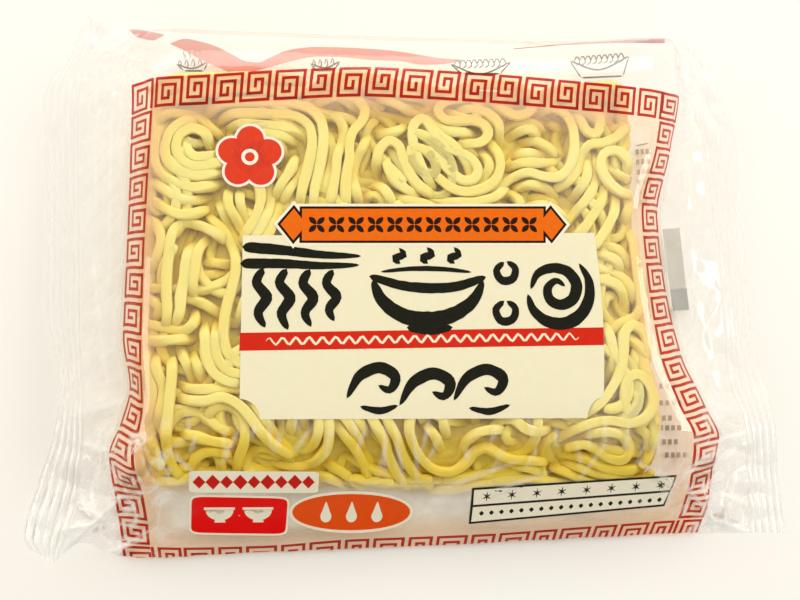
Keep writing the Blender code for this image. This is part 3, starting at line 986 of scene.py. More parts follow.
# The brush drawings on the label: places, widths along the stroke, bluntness of start and end
BRUSH_STROKES = (
    # chopsticks over hanging noodles
    (((-55, 6.6), (-43, 5.8), (-31, 4.6), (-19, 4.4)), (3.6, 2.8, 1.6), 0.9, 0.3),
    (((-55.5, 1.4), (-43, 1.6), (-31, 1.2), (-19.5, 1.6)), (3.4, 2.6, 1.6), 0.9, 0.3),
    (((-48.5, 0), (-50.5, -4), (-47.4, -9), (-49.8, -13.6), (-47.6, -18)), (2.4, 3.3, 2.4), 0.8, 0.3),
    (((-41.5, 0), (-43.6, -4), (-40.4, -9), (-42.8, -13.8), (-40.8, -18.6)), (2.4, 3.4, 2.4), 0.8, 0.3),
    (((-34.5, 0), (-36.6, -4), (-33.4, -9), (-35.8, -13.4), (-33.9, -17.6)), (2.4, 3.3, 2.2), 0.8, 0.3),
    (((-27.5, 0), (-29.5, -4), (-26.4, -8.6), (-28.6, -12.4), (-27, -15.8)), (2.2, 3.2, 2.2), 0.8, 0.3),
    # a steaming bowl: rim, far rim, body, foot
    (((-16.5, -1.8), (-6, -4.6), (2, -5.2), (10, -4.6), (19.5, -1.4)), (2.4, 3.2, 2.6), 0.8, 0.6),
    (((-13, -0.4), (-4, 0.7), (6, 0.8), (15, 0)), (1.0, 1.6, 1.2), 0.5, 0.3),
    (((-15.4, -3), (-13, -8.6), (-7.4, -13.2), (2, -15), (10.6, -12.6), (16, -8), (18.6, -2.6)),
     (2.8, 4.2, 5.0, 4.2, 2.6), 0.8, 0.6),
    (((-5, -17.4), (2, -18.2), (9, -17.2)), (2.2, 2.8, 2.0), 0.9, 0.6),
    (((-7, 2.2), (-8.8, 3.9), (-5.8, 5.2), (-7.4, 7.2)), (1.6, 2.4, 1.2), 0.5, 0.2),
    (((1.5, 2.4), (-0.3, 4.1), (2.9, 5.5), (1.2, 7.6)), (1.6, 2.6, 1.2), 0.5, 0.2),
    (((9.8, 2.6), (8, 4.2), (11.2, 5.6), (9.6, 7.8)), (1.6, 2.4, 1.2), 0.5, 0.2),
    # a slice of fish cake and two rings of spring onion
    (((44.2, -4), (41.6, -2.2), (38.8, -4.4), (39.2, -8), (42.6, -9.8), (46.4, -8), (47.8, -3.6),
      (45.2, 0.6), (40.4, 1.8), (35.6, -0.2), (33.4, -5)), (1.8, 3.0, 3.6, 3.2, 2.2), 0.8, 0.3),
    (((32.4, -6.6), (34, -11.4), (38, -14.8), (43.4, -15.6), (48.6, -13), (51.6, -7.6), (51.6, -1.6),
      (48.8, 3.4)), (2.0, 3.4, 4.0, 3.2, 2.0), 0.6, 0.3),
    (((25, -8.8), (22.4, -11.6), (24, -15), (27.4, -14.6), (28.4, -11), (25.8, -8.8)), (1.8, 2.6, 1.8),
     0.8, 0.6),
    (((25.2, 3.4), (22.8, 0.8), (24.4, -2.4), (27.8, -1.8), (28.6, 1.6), (26, 3.6)), (1.8, 2.6, 1.8),
     0.8, 0.6),
    # three breaking waves
    (((-23, -39), (-18.6, -31.8), (-12.4, -29.8), (-8.4, -32.8), (-10.2, -36.4), (-13.6, -35)),
     (1.6, 3.4, 3.4, 1.8), 0.4, 0.5),
    (((-7.2, -41), (-2.4, -33.6), (4, -31.4), (8.2, -34.4), (6.2, -38.2), (2.6, -36.8)),
     (1.6, 3.6, 3.6, 1.8), 0.4, 0.5),
    (((9.2, -39.4), (13.8, -32.2), (20.2, -30), (24.4, -33), (22.2, -36.8), (18.4, -35.4)),
     (1.6, 3.4, 3.4, 1.8), 0.4, 0.5),
    (((-19, -41.4), (-13, -42.6), (-7.6, -41)), (1.2, 2.2, 1.2), 0.6, 0.3),
    (((13.8, -41.6), (20, -42.6), (26.4, -40.6)), (1.2, 2.2, 1.2), 0.6, 0.3),
)


def build_label():
    """The cream label with its brush drawings, and the red stripe with a wavy cream line along it."""
    cream = ink("cream_label_ink", "#f3ecca", "#f8f2d4", 0.95, "#fff6dc")
    red = ink("red_stripe_ink", "#cf2412", "#da2c16")
    black = ink("black_brush_ink", "#12130d", "#202218")
    make_sheet("printed_label", printed([label_shape()], "ground"), cream)
    make_sheet("printed_stripe", printed([quad(STRIPE)], "drawing"), red)
    drawing = [stroke(places, widths, start, end, BRUSH_WANDER, seed)
               for seed, (places, widths, start, end) in enumerate(BRUSH_STROKES)]
    make_sheet("printed_brush_drawing", printed(drawing, "halo"), black)
    low, high = middle_line(STRIPE)
    share = np.linspace(0.07, 0.93, 97)
    middle = low + share[:, None] * (high - low)
    middle[:, 1] += 1.1 * np.sin(np.pi * np.arange(len(share)) / 2)
    make_sheet("printed_stripe_wave", printed([stroke(middle, 0.75, 1, 1)], "halo"),
               ink("cream_line_ink", "#f3e3c4", "#f8ecd2"))


# ------------------------------------------------------------------ pieces: the printed ornaments
BANNER = ((-37.2, 18.9), (38.0, 20.7), (37.7, 10.4), (-37.1, 8.9))
BANNER_TIPS = ((-39.7, 13.9), (40.3, 15.7))
BLOSSOM = (-53.5, 35.0)
TAB = (-54.9, -73.7)                # middles of the marks along the front
OVAL = (-20.6, -72.8)
STRIP = (-50.2, -63.6)


def build_banner():
    """The orange banner: a bar with a diamond at each end, both with a black outline and a cream
    halo, and a row of four-petalled flowers along it."""
    shapes = [BANNER]
    for x, y in BANNER_TIPS:
        shapes.append(((x - 4.0, y), (x, y + 5.0), (x + 4.0, y), (x, y - 5.0)))
    for name, key, by, finish in (
            ("printed_banner_halo", "halo", 1.6, ink("cream_halo_ink", "#f3ebd0", "#faf3dd")),
            ("printed_banner_outline", "outline", 0.75, ink("black_line_ink", "#1b0f08", "#2a160c")),
            ("printed_banner", "fill", 0.0, ink("orange_banner_ink", "#e5620a", "#f07412"))):
        make_sheet(name, printed([quad(grown(shape, by)) for shape in shapes], key), finish)
    petals = []
    low, high = middle_line(BANNER)
    for share in np.linspace(0.06, 0.94, 12):
        centre = low + share * (high - low)
        for angle in np.radians((45, 135, 225, 315)):
            way, aside = arrows(angle)
            petals.append(oval(centre + 1.75 * way, 1.55 * way, 0.85 * aside, 1.6, 16, 3))
    make_sheet("printed_banner_flowers", printed(petals, "mark"),
               ink("black_flower_ink", "#23110a", "#30180c"))


def build_blossom():
    """A five-petalled red blossom with a cream edge, above the banner on the left."""
    centre = np.array(BLOSSOM)
    red, halo = [], []
    for angle in np.radians(90 + 72 * np.arange(5)):
        way, aside = arrows(angle)
        halo.append(on_front(oval(centre + 5.6 * way, 5.2 * way, 5.0 * aside), UNDER["outline"]))
        red.append(on_front(oval(centre + 5.6 * way, 4.4 * way, 4.2 * aside), UNDER["fill"]))
    halo.append(on_front(oval(centre, (2.6, 0), (0, 2.6)), UNDER["mark"]))
    red.append(on_front(oval(centre, (5.0, 0), (0, 5.0)), UNDER["fill"]))
    red.append(on_front(oval(centre, (1.5, 0), (0, 1.5)), UNDER["top"]))
    make_sheet("printed_blossom_edge", halo, ink("cream_blossom_ink", "#f8ecd8", "#fdf6e8"))
    make_sheet("printed_blossom", red, ink("red_blossom_ink", "#d93a22", "#e4462c"))


def bowl_icon(centre, size):
    """A small bowl seen from the side: a rim, a half-round body and a foot."""
    x, y = centre
    body = np.stack([oval((x, y), (size, 0), (0, size), 2.0, 24, 4)[..., 0],
                     y - np.abs(oval((x, y), (size, 0), (0, size * 0.75), 2.0, 24, 4)[..., 1] - y)], -1)
    return [body, quad(((x - 1.1 * size, y + 0.2 * size), (x + 1.1 * size, y + 0.2 * size),
                        (x + 1.1 * size, y + 0.02 * size), (x - 1.1 * size, y + 0.02 * size))),
            quad(((x - 0.35 * size, y - 0.7 * size), (x + 0.35 * size, y - 0.7 * size),
                  (x + 0.4 * size, y - 0.9 * size), (x - 0.4 * size, y - 0.9 * size)))]


def build_front_marks():
    """The marks along the front: a cream strip, a red tab, an orange oval and a two-row box."""
    cream = ink("cream_mark_ink", "#fdf3d8", "#fffae6")
    red = ink("red_tab_ink", "#f00404", "#f80a08")
    black = ink("black_box_ink", "#1c1a16", "#2a2722")
    edges = (oval(STRIP, (19.3, -0.1), (0.1, 3.2), 14), oval(TAB, (15.0, -0.3), (0.4, 6.1), 9),
             oval(OVAL, (19.2, -0.1), (0.1, 6.5), 2.1))
    box = ((16.6, -65.7), (80.7, -61.7), (79.0, -70.9), (16.8, -76.3))
    middle = ((16.9, -71.0), (80.2, -66.4))
    rows = ((box[0], box[1], middle[1], middle[0]), (middle[0], middle[1], box[2], box[3]))
    make_sheet("printed_mark_grounds",
               printed(edges, "outline") + printed([quad(grown(row, -0.35)) for row in rows], "mark"),
               cream)
    for name, shape, finish in (
            ("printed_box_lines", quad(grown(box, 0.3)), black),
            ("printed_red_tab", oval(TAB, (14.4, -0.3), (0.4, 5.5), 10), red),
            ("printed_orange_oval", oval(OVAL, (18.2, -0.1), (0.1, 5.6), 2.1),
             ink("orange_oval_ink", "#f04e08", "#f85a0c"))):
        make_sheet(name, printed([shape], "fill"), finish)
    icons = []
    for x in (-60.8, -49.2):
        icons += bowl_icon((x, -72.0), 4.2)
    for x in (-28.5, -20.6, -12.7):
        icons.append(oval((x, -74.0), (1.7, 0), (0, 1.9)))
        icons.append(quad(((x - 0.15, -69.6), (x + 0.15, -69.6), (x + 1.45, -73.2),
                           (x - 1.45, -73.2))))
    make_sheet("printed_cream_icons", printed(icons, "mark"), cream)
    chain = []
    for k, x in enumerate(np.linspace(-66.5, -34, 9)):
        reach, y = (1.9, 2.2)[k % 2], STRIP[1]
        chain.append(quad(((x - reach, y), (x, y + reach), (x + reach, y), (x, y - reach))))
    make_sheet("printed_red_chain", printed(chain, "fill"),
               ink("red_chain_ink", "#cc1a10", "#d82418"))
    flakes = []
    for share in np.linspace(0.07, 0.93, 8):
        top = np.array(box[0]) + share * (np.array(box[1]) - box[0])
        centre = top + (0.1, -2.55)
        for angle in np.radians((30, 90, 150)):
            way = 1.6 * np.array((np.cos(angle), np.sin(angle)))
            flakes.append(stroke((centre - way, centre, centre + way), 0.42, 1, 1))
    for share in np.linspace(0.05, 0.95, 19):
        start = np.array(middle[0]) + share * (np.array(middle[1]) - middle[0])
        flakes.append(oval(start + (0.1, -2.5), (0.75, 0), (0, 0.75), 1.3, 12, 3))
    make_sheet("printed_box_marks", printed(flakes, "top"), black)


# ------------------------------------------------------------------ pieces: print on the back film
# The red band along the back edge of the back film, as the x, lower y and upper y of its places
BACK_BAND_END = ((-95.5, 83.9, 84.1), (-93, 81.9, 84.0), (-88, 81.2, 83.5), (-84.2, 82.6, 82.9))
BACK_BAND = ((-82.2, 80.5, 80.7), (-77.2, 78.7, 82.0), (-72.3, 76.5, 81.4), (-66.8, 74.4, 80.2),
             (-61.9, 72.8, 78.3), (-57, 72.7, 76.4), (-53.2, 73.8, 76.2), (-49.5, 74.8, 77.6),
             (-44.5, 76.2, 79.6), (-39.4, 77.5, 80.6), (-33, 78.5, 81.1), (-24.3, 78.6, 81.2),
             (-14.8, 78.1, 81.1), (-5.2, 78.1, 80.7), (1.7, 77.3, 80.0), (8.2, 77.5, 79.4),
             (16, 78.6, 79.2))
BACK_LINE = ((33.6, 82.4, 82.6), (43.2, 83.3, 83.6), (52.9, 84.3, 84.8), (66.4, 85.6, 86.2),
             (76.6, 86.5, 87.7), (87.5, 87.1, 88.9))
REGISTER_GREY = ((84.6, 21.1), (90.2, 21.3), (91.5, 0.5), (86.3, 0.4))
REGISTER_BLACK = ((86.3, 0.4), (91.6, 0.5), (92.1, -6.9), (86.9, -7.1))
# Its bowls: left and right end of the rim, then of the foot, loops of noodles, strokes of steam
BACK_BOWLS = (
    ((-80.5, 74.9), (-69.9, 75.9), (-77.9, 72.9), (-71.3, 73.1), 4, 4),
    ((12.3, 77.8), (33.4, 79.1), (16.6, 74.9), (29.8, 75.4), 9, 0),
    ((54.1, 80.1), (75.0, 82.5), (58.6, 75.2), (73.6, 76.4), 9, 0),
    ((-35.5, 76.4), (-25.5, 77.4), (-33.5, 74.2), (-27.5, 74.6), 4, 0),
)
# The left ends of its rows of bars near the right seal
BACK_ROWS = ((82.0, -32.1), (81.9, -37.7), (80.8, -42.7), (81.8, -45.9), (82.6, -50.5), (83.4, -54.8))


def band_shape(rows):
    """A strip between the lower and upper edges given at each place along it."""
    x, low, high = np.array(rows).T
    at = np.linspace(x[0], x[-1], int(x[-1] - x[0]) + 1)
    share = np.linspace(0, 1, 7)
    low, high = through(x, low, at), through(x, high, at)
    return np.stack([at[:, None] + 0 * share, low[:, None] + share * (high - low)[:, None]], axis=-1)


def bowl_sketch(left, right, foot_left, foot_right, loops, steam):
    """Line drawing of a bowl between the ends of its rim and of its foot, with loops of noodles
    heaped over the rim and strokes of steam."""
    left, right = np.array(left), np.array(right)
    foot_left, foot_right = np.array(foot_left), np.array(foot_right)
    up = np.array((0.0, 1.0))
    wide = right - left
    shapes = [stroke([left, foot_left], 0.45, 1, 1), stroke([right, foot_right], 0.45, 1, 1),
              stroke([foot_left, foot_right], 0.55, 1, 1),
              stroke([left, left + 0.5 * wide - 0.16 * np.linalg.norm(wide) * up, right], 0.5, 1, 1)]
    for k in range(loops):
        start = left + (0.06 + 0.84 * k / loops) * wide
        turn = 0.11 * np.linalg.norm(wide) * np.array((1.0, 0.0))
        loop = (start - 0.8 * up, start + 0.4 * turn + 1.2 * up, start + turn - 0.6 * up,
                start + 0.3 * turn - 1.5 * up)
        shapes.append(stroke(loop, 0.4))
    for k in range(steam):
        start = left + (0.25 + 0.5 * k / max(steam - 1, 1)) * wide + 1.2 * up
        shapes.append(stroke([start, start + (0.5, 0.9), start + (-0.2, 1.8), start + (0.3, 2.8)], 0.35))
    return shapes


def build_back_print():
    """What shows through from the back film: a red band along the back edge, a grey and a black
    register mark, bowl drawings and rows of short bars."""
    band = ink("back_band_ink", "#e8807c", "#ee928c", 0.8, "#f8c4be")
    grey = ink("back_grey_ink", "#9c9888", "#aba796", 0.85, "#c8c4b4")
    dark = ink("back_dark_ink", "#2c2a22", "#34322a")
    line = ink("back_line_ink", "#5c564a", "#6c6658")
    faint = ink("back_small_ink", "#8d877a", "#9c968a", 0.8, "#d8d2c4")
    make_sheet("back_printed_band", [on_back(band_shape(rows)) for rows in (BACK_BAND_END, BACK_BAND)],
               band)
    make_sheet("back_printed_line", [on_back(band_shape(BACK_LINE))],
               ink("back_red_line_ink", "#b02c2c", "#bc3a36"))
    make_sheet("back_register_grey", [on_back(quad(REGISTER_GREY))], grey)
    make_sheet("back_register_black", [on_back(quad(REGISTER_BLACK))], dark)
    sketches = [shape for bowl in BACK_BOWLS for shape in bowl_sketch(*bowl)]
    make_sheet("back_bowl_sketches", [on_back(shape) for shape in sketches], line)
    bars = [stroke([(77.5, 51.6), (82.3, 52.4)], 0.5, 1, 1),
            stroke([(78.8, 7.1), (80.0, -18.4)], 0.45, 1, 1)]
    for k, y in enumerate(np.arange(49.4, 30, -3.7)):
        for x in np.arange(77.6, 82.2 - 0.4 * k, 1.6):
            bars.append(quad(((x, y + 0.9), (x + 1.1, y + 1.0), (x + 1.1, y - 0.9), (x, y - 1.0)), 1.0))
    for k, (x, y) in enumerate(BACK_ROWS):
        for step in range(3 + k % 2):
            left = x + 1.9 * step
            bars.append(quad(((left, y + 0.8), (left + 1.2, y + 0.9), (left + 1.2, y - 0.8),
                              (left, y - 0.9)), 1.0))
    make_sheet("back_small_print", [on_back(shape) for shape in bars], faint)


# ------------------------------------------------------------------ pieces: the noodles
STRAND_WIDE = 3.1                   # a noodle is a soft rounded square, a little wider than high
STRAND_HIGH = 2.8
SQUARENESS = 3.8                    # exponent of the superellipse of its section
CONTACT = 1.36                      # half the distance between the middles of two pressed noodles
PRESSED = 0.75                      # how far the film flattens the noodles that touch it
BLOCK_MIDDLE = (-4.5, 0.0)          # of the noodles on the plan, and half their length and width
BLOCK_HALF = (81.0, 65.5)
BLOCK_SQUARENESS = 9                # exponent of the superellipse of its outline
SHORTEST = 22.0                     # of the noodles laid at random
TUCK_LENGTH = 5.0                   # how far from its end a noodle starts to dive under, and how deep
TUCK_DEPTH = 3.4
FILLING = 2.6                       # how far the next layer is pushed up into the gaps of the first
FIELD = (230, 190)                  # the plan round the block that is divided into cells
FIELD_ORIGIN = (115, 95)            # from its low corner to the middle of the pack
CELL = 0.5
EDGE_INSET = 1.7                    # from the block's edge to the middles of the outermost noodles
COURSES = 9                         # of noodles above one another round the sides, and their rise
COURSE_RISE = 2.7
RELIEF = 1.5                        # height of the ridges in the mass under the loose noodles
MASS_DEPTH = 7.4                    # from the front film to the solid mass inside the block
# The mass's tone, paler than the deep noodles: painted light that brightens the gaps between the noodles
MASS_PAINTED_LIGHT = 0.28
MASS_INSET = 4.5                    # from the block's edge to the mass
# The right and the back edge of the block, as (y, x) and as (x, y)
BLOCK_RIGHT = ((-66, 76.0), (-60, 76.0), (-39, 73.0), (-15, 70.8), (5, 68.8), (20, 67.6), (66, 67.6))
BLOCK_BACK = ((-95, 64.5), (-78, 64.0), (-70, 61.5), (40, 61.5), (52, 64), (70, 64), (80, 60))

# The noodles that show against the front film, from the film downwards: how many lie side by side,
# and the places on the plan that their middle passes
ROUTES = (
    # the coil in the back left corner
    (1, ((-66, 38), (-67, 42), (-71, 44), (-75, 42), (-76, 37.5), (-74, 33.5), (-70, 31.8), (-65, 32.5),
         (-60, 34.5))),
    (1, ((-70, 47), (-74, 46.3), (-77.7, 43.4), (-79.3, 38.5), (-78.5, 33.5), (-75, 30.3), (-70, 28.7),
         (-65, 29.6), (-60.5, 32))),
    (1, ((-72, 41), (-73, 38), (-71, 35.2), (-67, 35), (-63, 37))),
    (1, ((-62.5, 42), (-66, 45), (-70, 48), (-75, 49.2), (-80, 48.5), (-84, 45))),
    (1, ((-73, 49.5), (-78.5, 47), (-81.7, 43.3), (-82.8, 38), (-82, 32.7), (-79.3, 28.7), (-75, 26.3),
         (-70, 25), (-65, 26.2), (-61, 29.5))),
    (1, ((-86, 28.5), (-81.5, 26.3), (-77.5, 23.3), (-73, 21.2), (-68.5, 22), (-65, 25.5))),
    (1, ((-86, 23.2), (-82, 21), (-78, 18), (-74, 16.4), (-70, 16.8), (-66, 19))),
    # the broad arc along the back and down again
    (1, ((-71, 45), (-67.5, 50), (-62, 52.6), (-55, 53.2), (-47, 53.3), (-40, 53), (-35, 51.3), (-32, 48),
         (-30.9, 43), (-31.3, 37), (-32.3, 31), (-33.3, 26), (-34, 19))),
    (1, ((-66, 46.5), (-60, 49), (-52, 49.5), (-45, 49.4), (-39, 48.6), (-35.6, 46), (-34.5, 41.5),
         (-35, 36), (-36, 31), (-37.2, 26), (-38, 20))),
    (1, ((-64, 44.5), (-58, 45.9), (-50, 45.8), (-43, 45), (-37, 43.2), (-34, 40))),
    (1, ((-55, 43), (-49, 43), (-43, 42), (-37, 40.5), (-33, 38))),
    (2, ((-38, 36), (-39.5, 31), (-42, 27), (-44.5, 22))),
    (1, ((-54, 36), (-49, 33.5), (-45, 30.5), (-42, 27), (-40.3, 22.5), (-40, 17))),
    (3, ((-52, 33), (-48.5, 28.5), (-47, 23.5), (-47.6, 18), (-50, 12), (-53, 7))),
    (1, ((-84, 51), (-79, 53), (-73, 54.5), (-66, 56.4), (-58, 57.5), (-50, 57.3), (-42, 57), (-34, 58))),
    (2, ((-85, 56.5), (-79, 58.5), (-72, 59.4), (-64, 59.8), (-55, 60.2), (-46, 60.0), (-37, 60))),
    # between the arc and the loops in the middle of the back
    (1, ((-36, 52), (-31, 55), (-26, 56.2), (-20.5, 55), (-18, 51.5), (-19, 48), (-21.5, 45), (-22.8, 41),
         (-22.8, 36), (-23.6, 31), (-24, 26), (-23.5, 19))),
    (1, ((-35, 47.5), (-30.5, 50), (-26.5, 49), (-24.6, 45.5), (-25, 41), (-26.5, 37), (-27, 31),
         (-28, 25), (-29, 19))),
    (1, ((-33, 47), (-30, 44.5), (-28.4, 40), (-28.6, 34), (-30, 28), (-31, 21))),
    (1, ((-17, 43.5), (-18.6, 39.5), (-20.6, 36), (-21.6, 31.5), (-21, 27), (-19.5, 21))),
    (1, ((-14, 50), (-17, 47), (-18, 43), (-17.5, 38), (-19, 33), (-20, 29))),
    (1, ((-21.5, 25.5), (-18.5, 28.3), (-14.5, 28), (-11, 24.8), (-8.5, 19.5))),
    (1, ((-19, 22), (-16, 24.3), (-12.5, 23), (-10, 18.5))),
    (1, ((5, 20.7), (0, 21.8), (-5, 22.8), (-9.4, 25.5), (-12.9, 29.7), (-14.3, 34.5), (-13.3, 39),
         (-10.3, 41.7), (-7.7, 40.5), (-6.2, 36), (-4, 31), (-0.5, 26.8), (4, 24.6))),
    (1, ((-10.7, 38.5), (-11, 34), (-9, 29.5), (-5.3, 26.3), (-1, 24))),
    # the long hairpin and the hooks round it
    (1, ((4, 27), (1.3, 30.5), (-0.8, 35), (-2.4, 39.5), (-3.1, 44), (-2.3, 47.8), (0.3, 49.4),
         (2.7, 46.7), (4.6, 42.8), (8, 40), (12.3, 38.4), (15.8, 36.3), (17.6, 33), (16.3, 29.9),
         (12.8, 29.4), (9.4, 31.8), (6, 35.3), (2.8, 38), (0.8, 41.5))),
    (1, ((18, 57.3), (12, 56.6), (7.5, 55.4), (5, 52.4), (6.8, 49.7), (11.5, 49), (16, 49.3), (19.7, 48),
         (21, 45.3), (19.5, 42.7), (15.5, 41.6), (11.3, 42))),
    (1, ((2.3, 52), (4.5, 48), (8, 45.8), (12.5, 45.3), (18, 46))),
    (1, ((3, 33), (5.8, 29.5), (9.8, 26.6), (14.5, 25.8), (19.3, 27), (23, 29.8), (24.7, 34),
         (24.2, 38.5), (22.3, 42.3), (21.8, 46))),
    (1, ((15, 26), (19.3, 30.3), (21.2, 34.5), (19.7, 38.3), (16.5, 40.5))),
    (1, ((0, 25.3), (5, 23.2), (12, 22.2), (18, 22.8), (23.5, 24.8), (27, 28))),
    (1, ((-4, 20), (4, 18.3), (12, 18.6), (20, 19.2), (27, 21.5))),
    (1, ((-14, 57), (-9, 54.5), (-4, 52.6), (0, 52.5), (4, 55.5), (6, 60))),
    (1, ((-16, 46), (-12, 44.6), (-8, 45), (-5.3, 48), (-5, 51))),
    (2, ((-34, 59), (-27, 61), (-19, 61.5), (-11, 60), (-3, 58.5), (3, 60))),
    (1, ((-17, 56.5), (-14, 52), (-10, 49), (-7, 45))),
    # the back right corner
    (1, ((11, 52.8), (16.5, 53.2), (21.3, 51.6), (24.3, 48.5), (25, 44.5), (25.3, 40))),
    (1, ((19, 58.5), (23, 55.5), (27, 52.6), (31, 51.4), (34.5, 53), (36.5, 57), (37, 61))),
    (2, ((23, 42), (26.3, 45.8), (31, 48), (35, 48.3), (38.8, 46.3))),
    (1, ((24.7, 39.7), (27.5, 42.5), (31.5, 43.9), (36, 43.6), (40, 41.8), (43.6, 39))),
    (1, ((44, 43.5), (41.5, 41), (37.5, 39.8), (32, 39), (26, 38.2))),
    (1, ((45, 40), (42.8, 37), (38, 36), (32, 35.8), (26, 34.4))),
    (1, ((35.3, 50.5), (37.7, 53.3), (41.7, 54.5), (45.8, 52.8), (48.2, 48.8), (48.8, 43.5), (48.1, 38),
         (46.3, 33.6), (43, 31.3), (38.5, 31.5), (33.5, 32.6), (28.5, 31), (24, 27.6), (19, 25))),
    (1, ((69.5, 51), (66, 48.3), (62.3, 45), (58, 43), (53.3, 42.2), (51, 39), (49.6, 34.3), (46.5, 30),
         (42, 27.8))),
    (1, ((49, 54.5), (51.3, 50), (53.3, 46.6), (55.8, 46), (57.3, 49), (56.9, 53), (55, 58))),
    (1, ((36.5, 49.5), (41, 50.3), (45, 48), (46.3, 44))),
    (1, ((20, 22.8), (24, 25.3), (28, 26.2), (30.5, 24), (31, 19))),
    (1, ((29, 28), (35, 28.8), (40.5, 27.8), (44, 25))),
    (1, ((31.5, 24.7), (36.5, 25.5), (41, 24.8), (45.5, 21.5))),
    (1, ((31, 21.5), (37, 22.2), (42, 20.6), (46, 17))),
    (1, ((67.3, 33.5), (65.8, 37.8), (62.3, 40.5), (58.6, 39.7), (57, 36), (58.2, 32), (61, 28.6),
         (64.5, 26.7), (69, 26.7))),
    (1, ((60.3, 38), (61, 35.3), (64, 33), (68, 32), (71.5, 33.5))),
    (1, ((53, 42), (53.2, 36.5), (52.2, 31.5), (49.5, 26.7), (46.3, 22.5), (42.5, 18.5))),
    (1, ((56, 42), (56.2, 36), (55.5, 31), (53.2, 26), (49.8, 21.5), (46, 17), (42, 13))),
    (1, ((58, 33), (58.5, 28.5), (57.1, 24), (54.2, 19.5), (51, 15), (47, 11))),
    (1, ((61.5, 29), (62, 25), (60.8, 20), (58.3, 15), (55, 10.5), (51, 7))),
    (1, ((59.5, 47.5), (63, 49), (66.5, 47.2), (67, 43.5), (64, 41.5), (60, 42.7))),
    (1, ((62, 30.8), (65.3, 31.2), (68.3, 28.6), (68.5, 24.5), (66, 21.5), (64.5, 17))),
    (1, ((70.5, 57), (70, 51), (71, 44), (70.3, 37), (71.5, 30), (70, 24))),
    (2, ((36, 57), (42, 59), (49, 59.8), (57, 60.8), (65, 60.5), (70, 57))),
    (1, ((10, 59.5), (18, 61.5), (27, 61.8), (36, 61.3))),
    (1, ((58, 54.5), (62, 55.5), (66, 53.5), (70, 54.5))),
    # the left edge
    (1, ((-60, 8.8), (-64.5, 11.6), (-68.5, 13.6), (-72.3, 14.3), (-75.2, 13), (-76.6, 9.3), (-77, 4),
         (-77.3, -2), (-77.2, -8), (-76.7, -13), (-77.5, -18))),
    (1, ((-65.5, 28), (-68, 23.3), (-67.3, 19), (-65, 15.8), (-61.6, 12.6), (-58.9, 8.5), (-57.2, 4),
         (-56.9, -1), (-57.8, -6), (-59.1, -11), (-59.9, -17), (-59.7, -22), (-58, -26.5), (-54, -29),
         (-49, -29.5))),
    (1, ((-60.3, 33.5), (-62.7, 28.3), (-63.3, 23.5), (-61.8, 19), (-59.8, 14.6), (-57.3, 10), (-54.5, 6),
         (-50, 3))),
    (1, ((-60, 25), (-59.5, 19.5), (-57, 15.5), (-54, 11), (-50, 7))),
    (1, ((-56.5, 25), (-56, 20), (-54, 15.5), (-51, 11))),
    (1, ((-62.5, 12.5), (-66.5, 9.2), (-68.4, 5), (-69, 0), (-69.6, -5), (-69.3, -9))),
    (1, ((-66, 12), (-70, 8.5), (-71.6, 3), (-72.2, -3), (-73, -9), (-73.2, -14), (-75, -17.5))),
    (1, ((-53, 1.5), (-57, -0.6), (-60, -3.4), (-63.5, -5.5), (-68, -6.4), (-73, -6.2), (-79, -6),
         (-86, -5.5))),
    (1, ((-75.5, -9), (-70.5, -9.2), (-66.5, -10.4), (-63, -12.6), (-59.5, -14))),
    (1, ((-70.5, -10), (-68.8, -13.3), (-69, -16.6), (-71.5, -18.6), (-76.5, -18.2), (-82, -17),
         (-86, -16.5))),
    (1, ((-68.3, -12), (-66.2, -16), (-65.4, -21), (-64.8, -27), (-62.5, -31.6), (-58.7, -34),
         (-53, -34.6))),
    (1, ((-63, -13.5), (-62.3, -18.5), (-62.2, -24), (-60.7, -28.5), (-57, -31.6), (-52, -32))),
    (1, ((-65, -17), (-67.2, -19.7), (-70.5, -21.3), (-75, -21.9), (-80, -22), (-86, -20.5))),
    (1, ((-67, 2.8), (-62.5, 2), (-56, 2.6))),
    (1, ((-68, -1.3), (-63, -1.2), (-57, 1))),
    (1, ((-86, 16.5), (-81.5, 14), (-79.6, 9.5), (-80.3, 4.5), (-82.4, 0.5), (-86, -1.5))),
    (1, ((-86.5, 10.5), (-84.2, 7), (-83.8, 3), (-86, 0.5))),
    (1, ((-86, -9.3), (-81.5, -9.8), (-79.3, -12.5), (-80.5, -15))),
    (1, ((-86, -13), (-82, -13.2), (-79.5, -16.5))),
    # the front left corner
    (1, ((-75, -27), (-74.7, -32), (-75, -38), (-75.5, -44), (-76, -50), (-75.4, -56), (-73.3, -60.5),
         (-69.5, -63.5))),
    (1, ((-74, -34.3), (-69.5, -36.2), (-63.5, -36.5), (-57.5, -36.2), (-51, -36.6), (-45, -38))),
    (1, ((-75, -37.3), (-70, -39.6), (-65, -40), (-60, -38.9), (-55.4, -40.7), (-51.8, -44.2),
         (-48.3, -48.8), (-44, -53), (-39, -56))),
    (2, ((-72.3, -22), (-70, -27), (-68.3, -31.5), (-66.8, -36))),
    (1, ((-57, -37.7), (-52, -39.3), (-48.3, -43), (-45.3, -48), (-41.8, -52), (-37.5, -55.5))),
    (1, ((-64.8, -45.2), (-62.3, -41.9), (-58.2, -41.2), (-54.8, -43.4), (-53, -47.5), (-53.2, -52),
         (-54.9, -57), (-55.3, -62))),
    (1, ((-76.5, -50), (-74.6, -45.4), (-71, -43), (-67, -43.3), (-63.3, -45.8), (-59.5, -48.2),
         (-55, -49))),
    (1, ((-38, -57.2), (-43, -55), (-48, -53.5), (-51.7, -55), (-53, -58), (-51, -61), (-46, -62))),
    (1, ((-74, -48.6), (-68.5, -50), (-62.5, -51.7), (-57, -52.4))),
    (1, ((-69, -61), (-67.3, -56.5), (-63, -54.5), (-57.5, -55.5))),
    (1, ((-60, -62), (-60.2, -58), (-62, -54), (-66, -51))),
    (1, ((-81, -50), (-79, -55), (-79.3, -60), (-76.5, -65))),
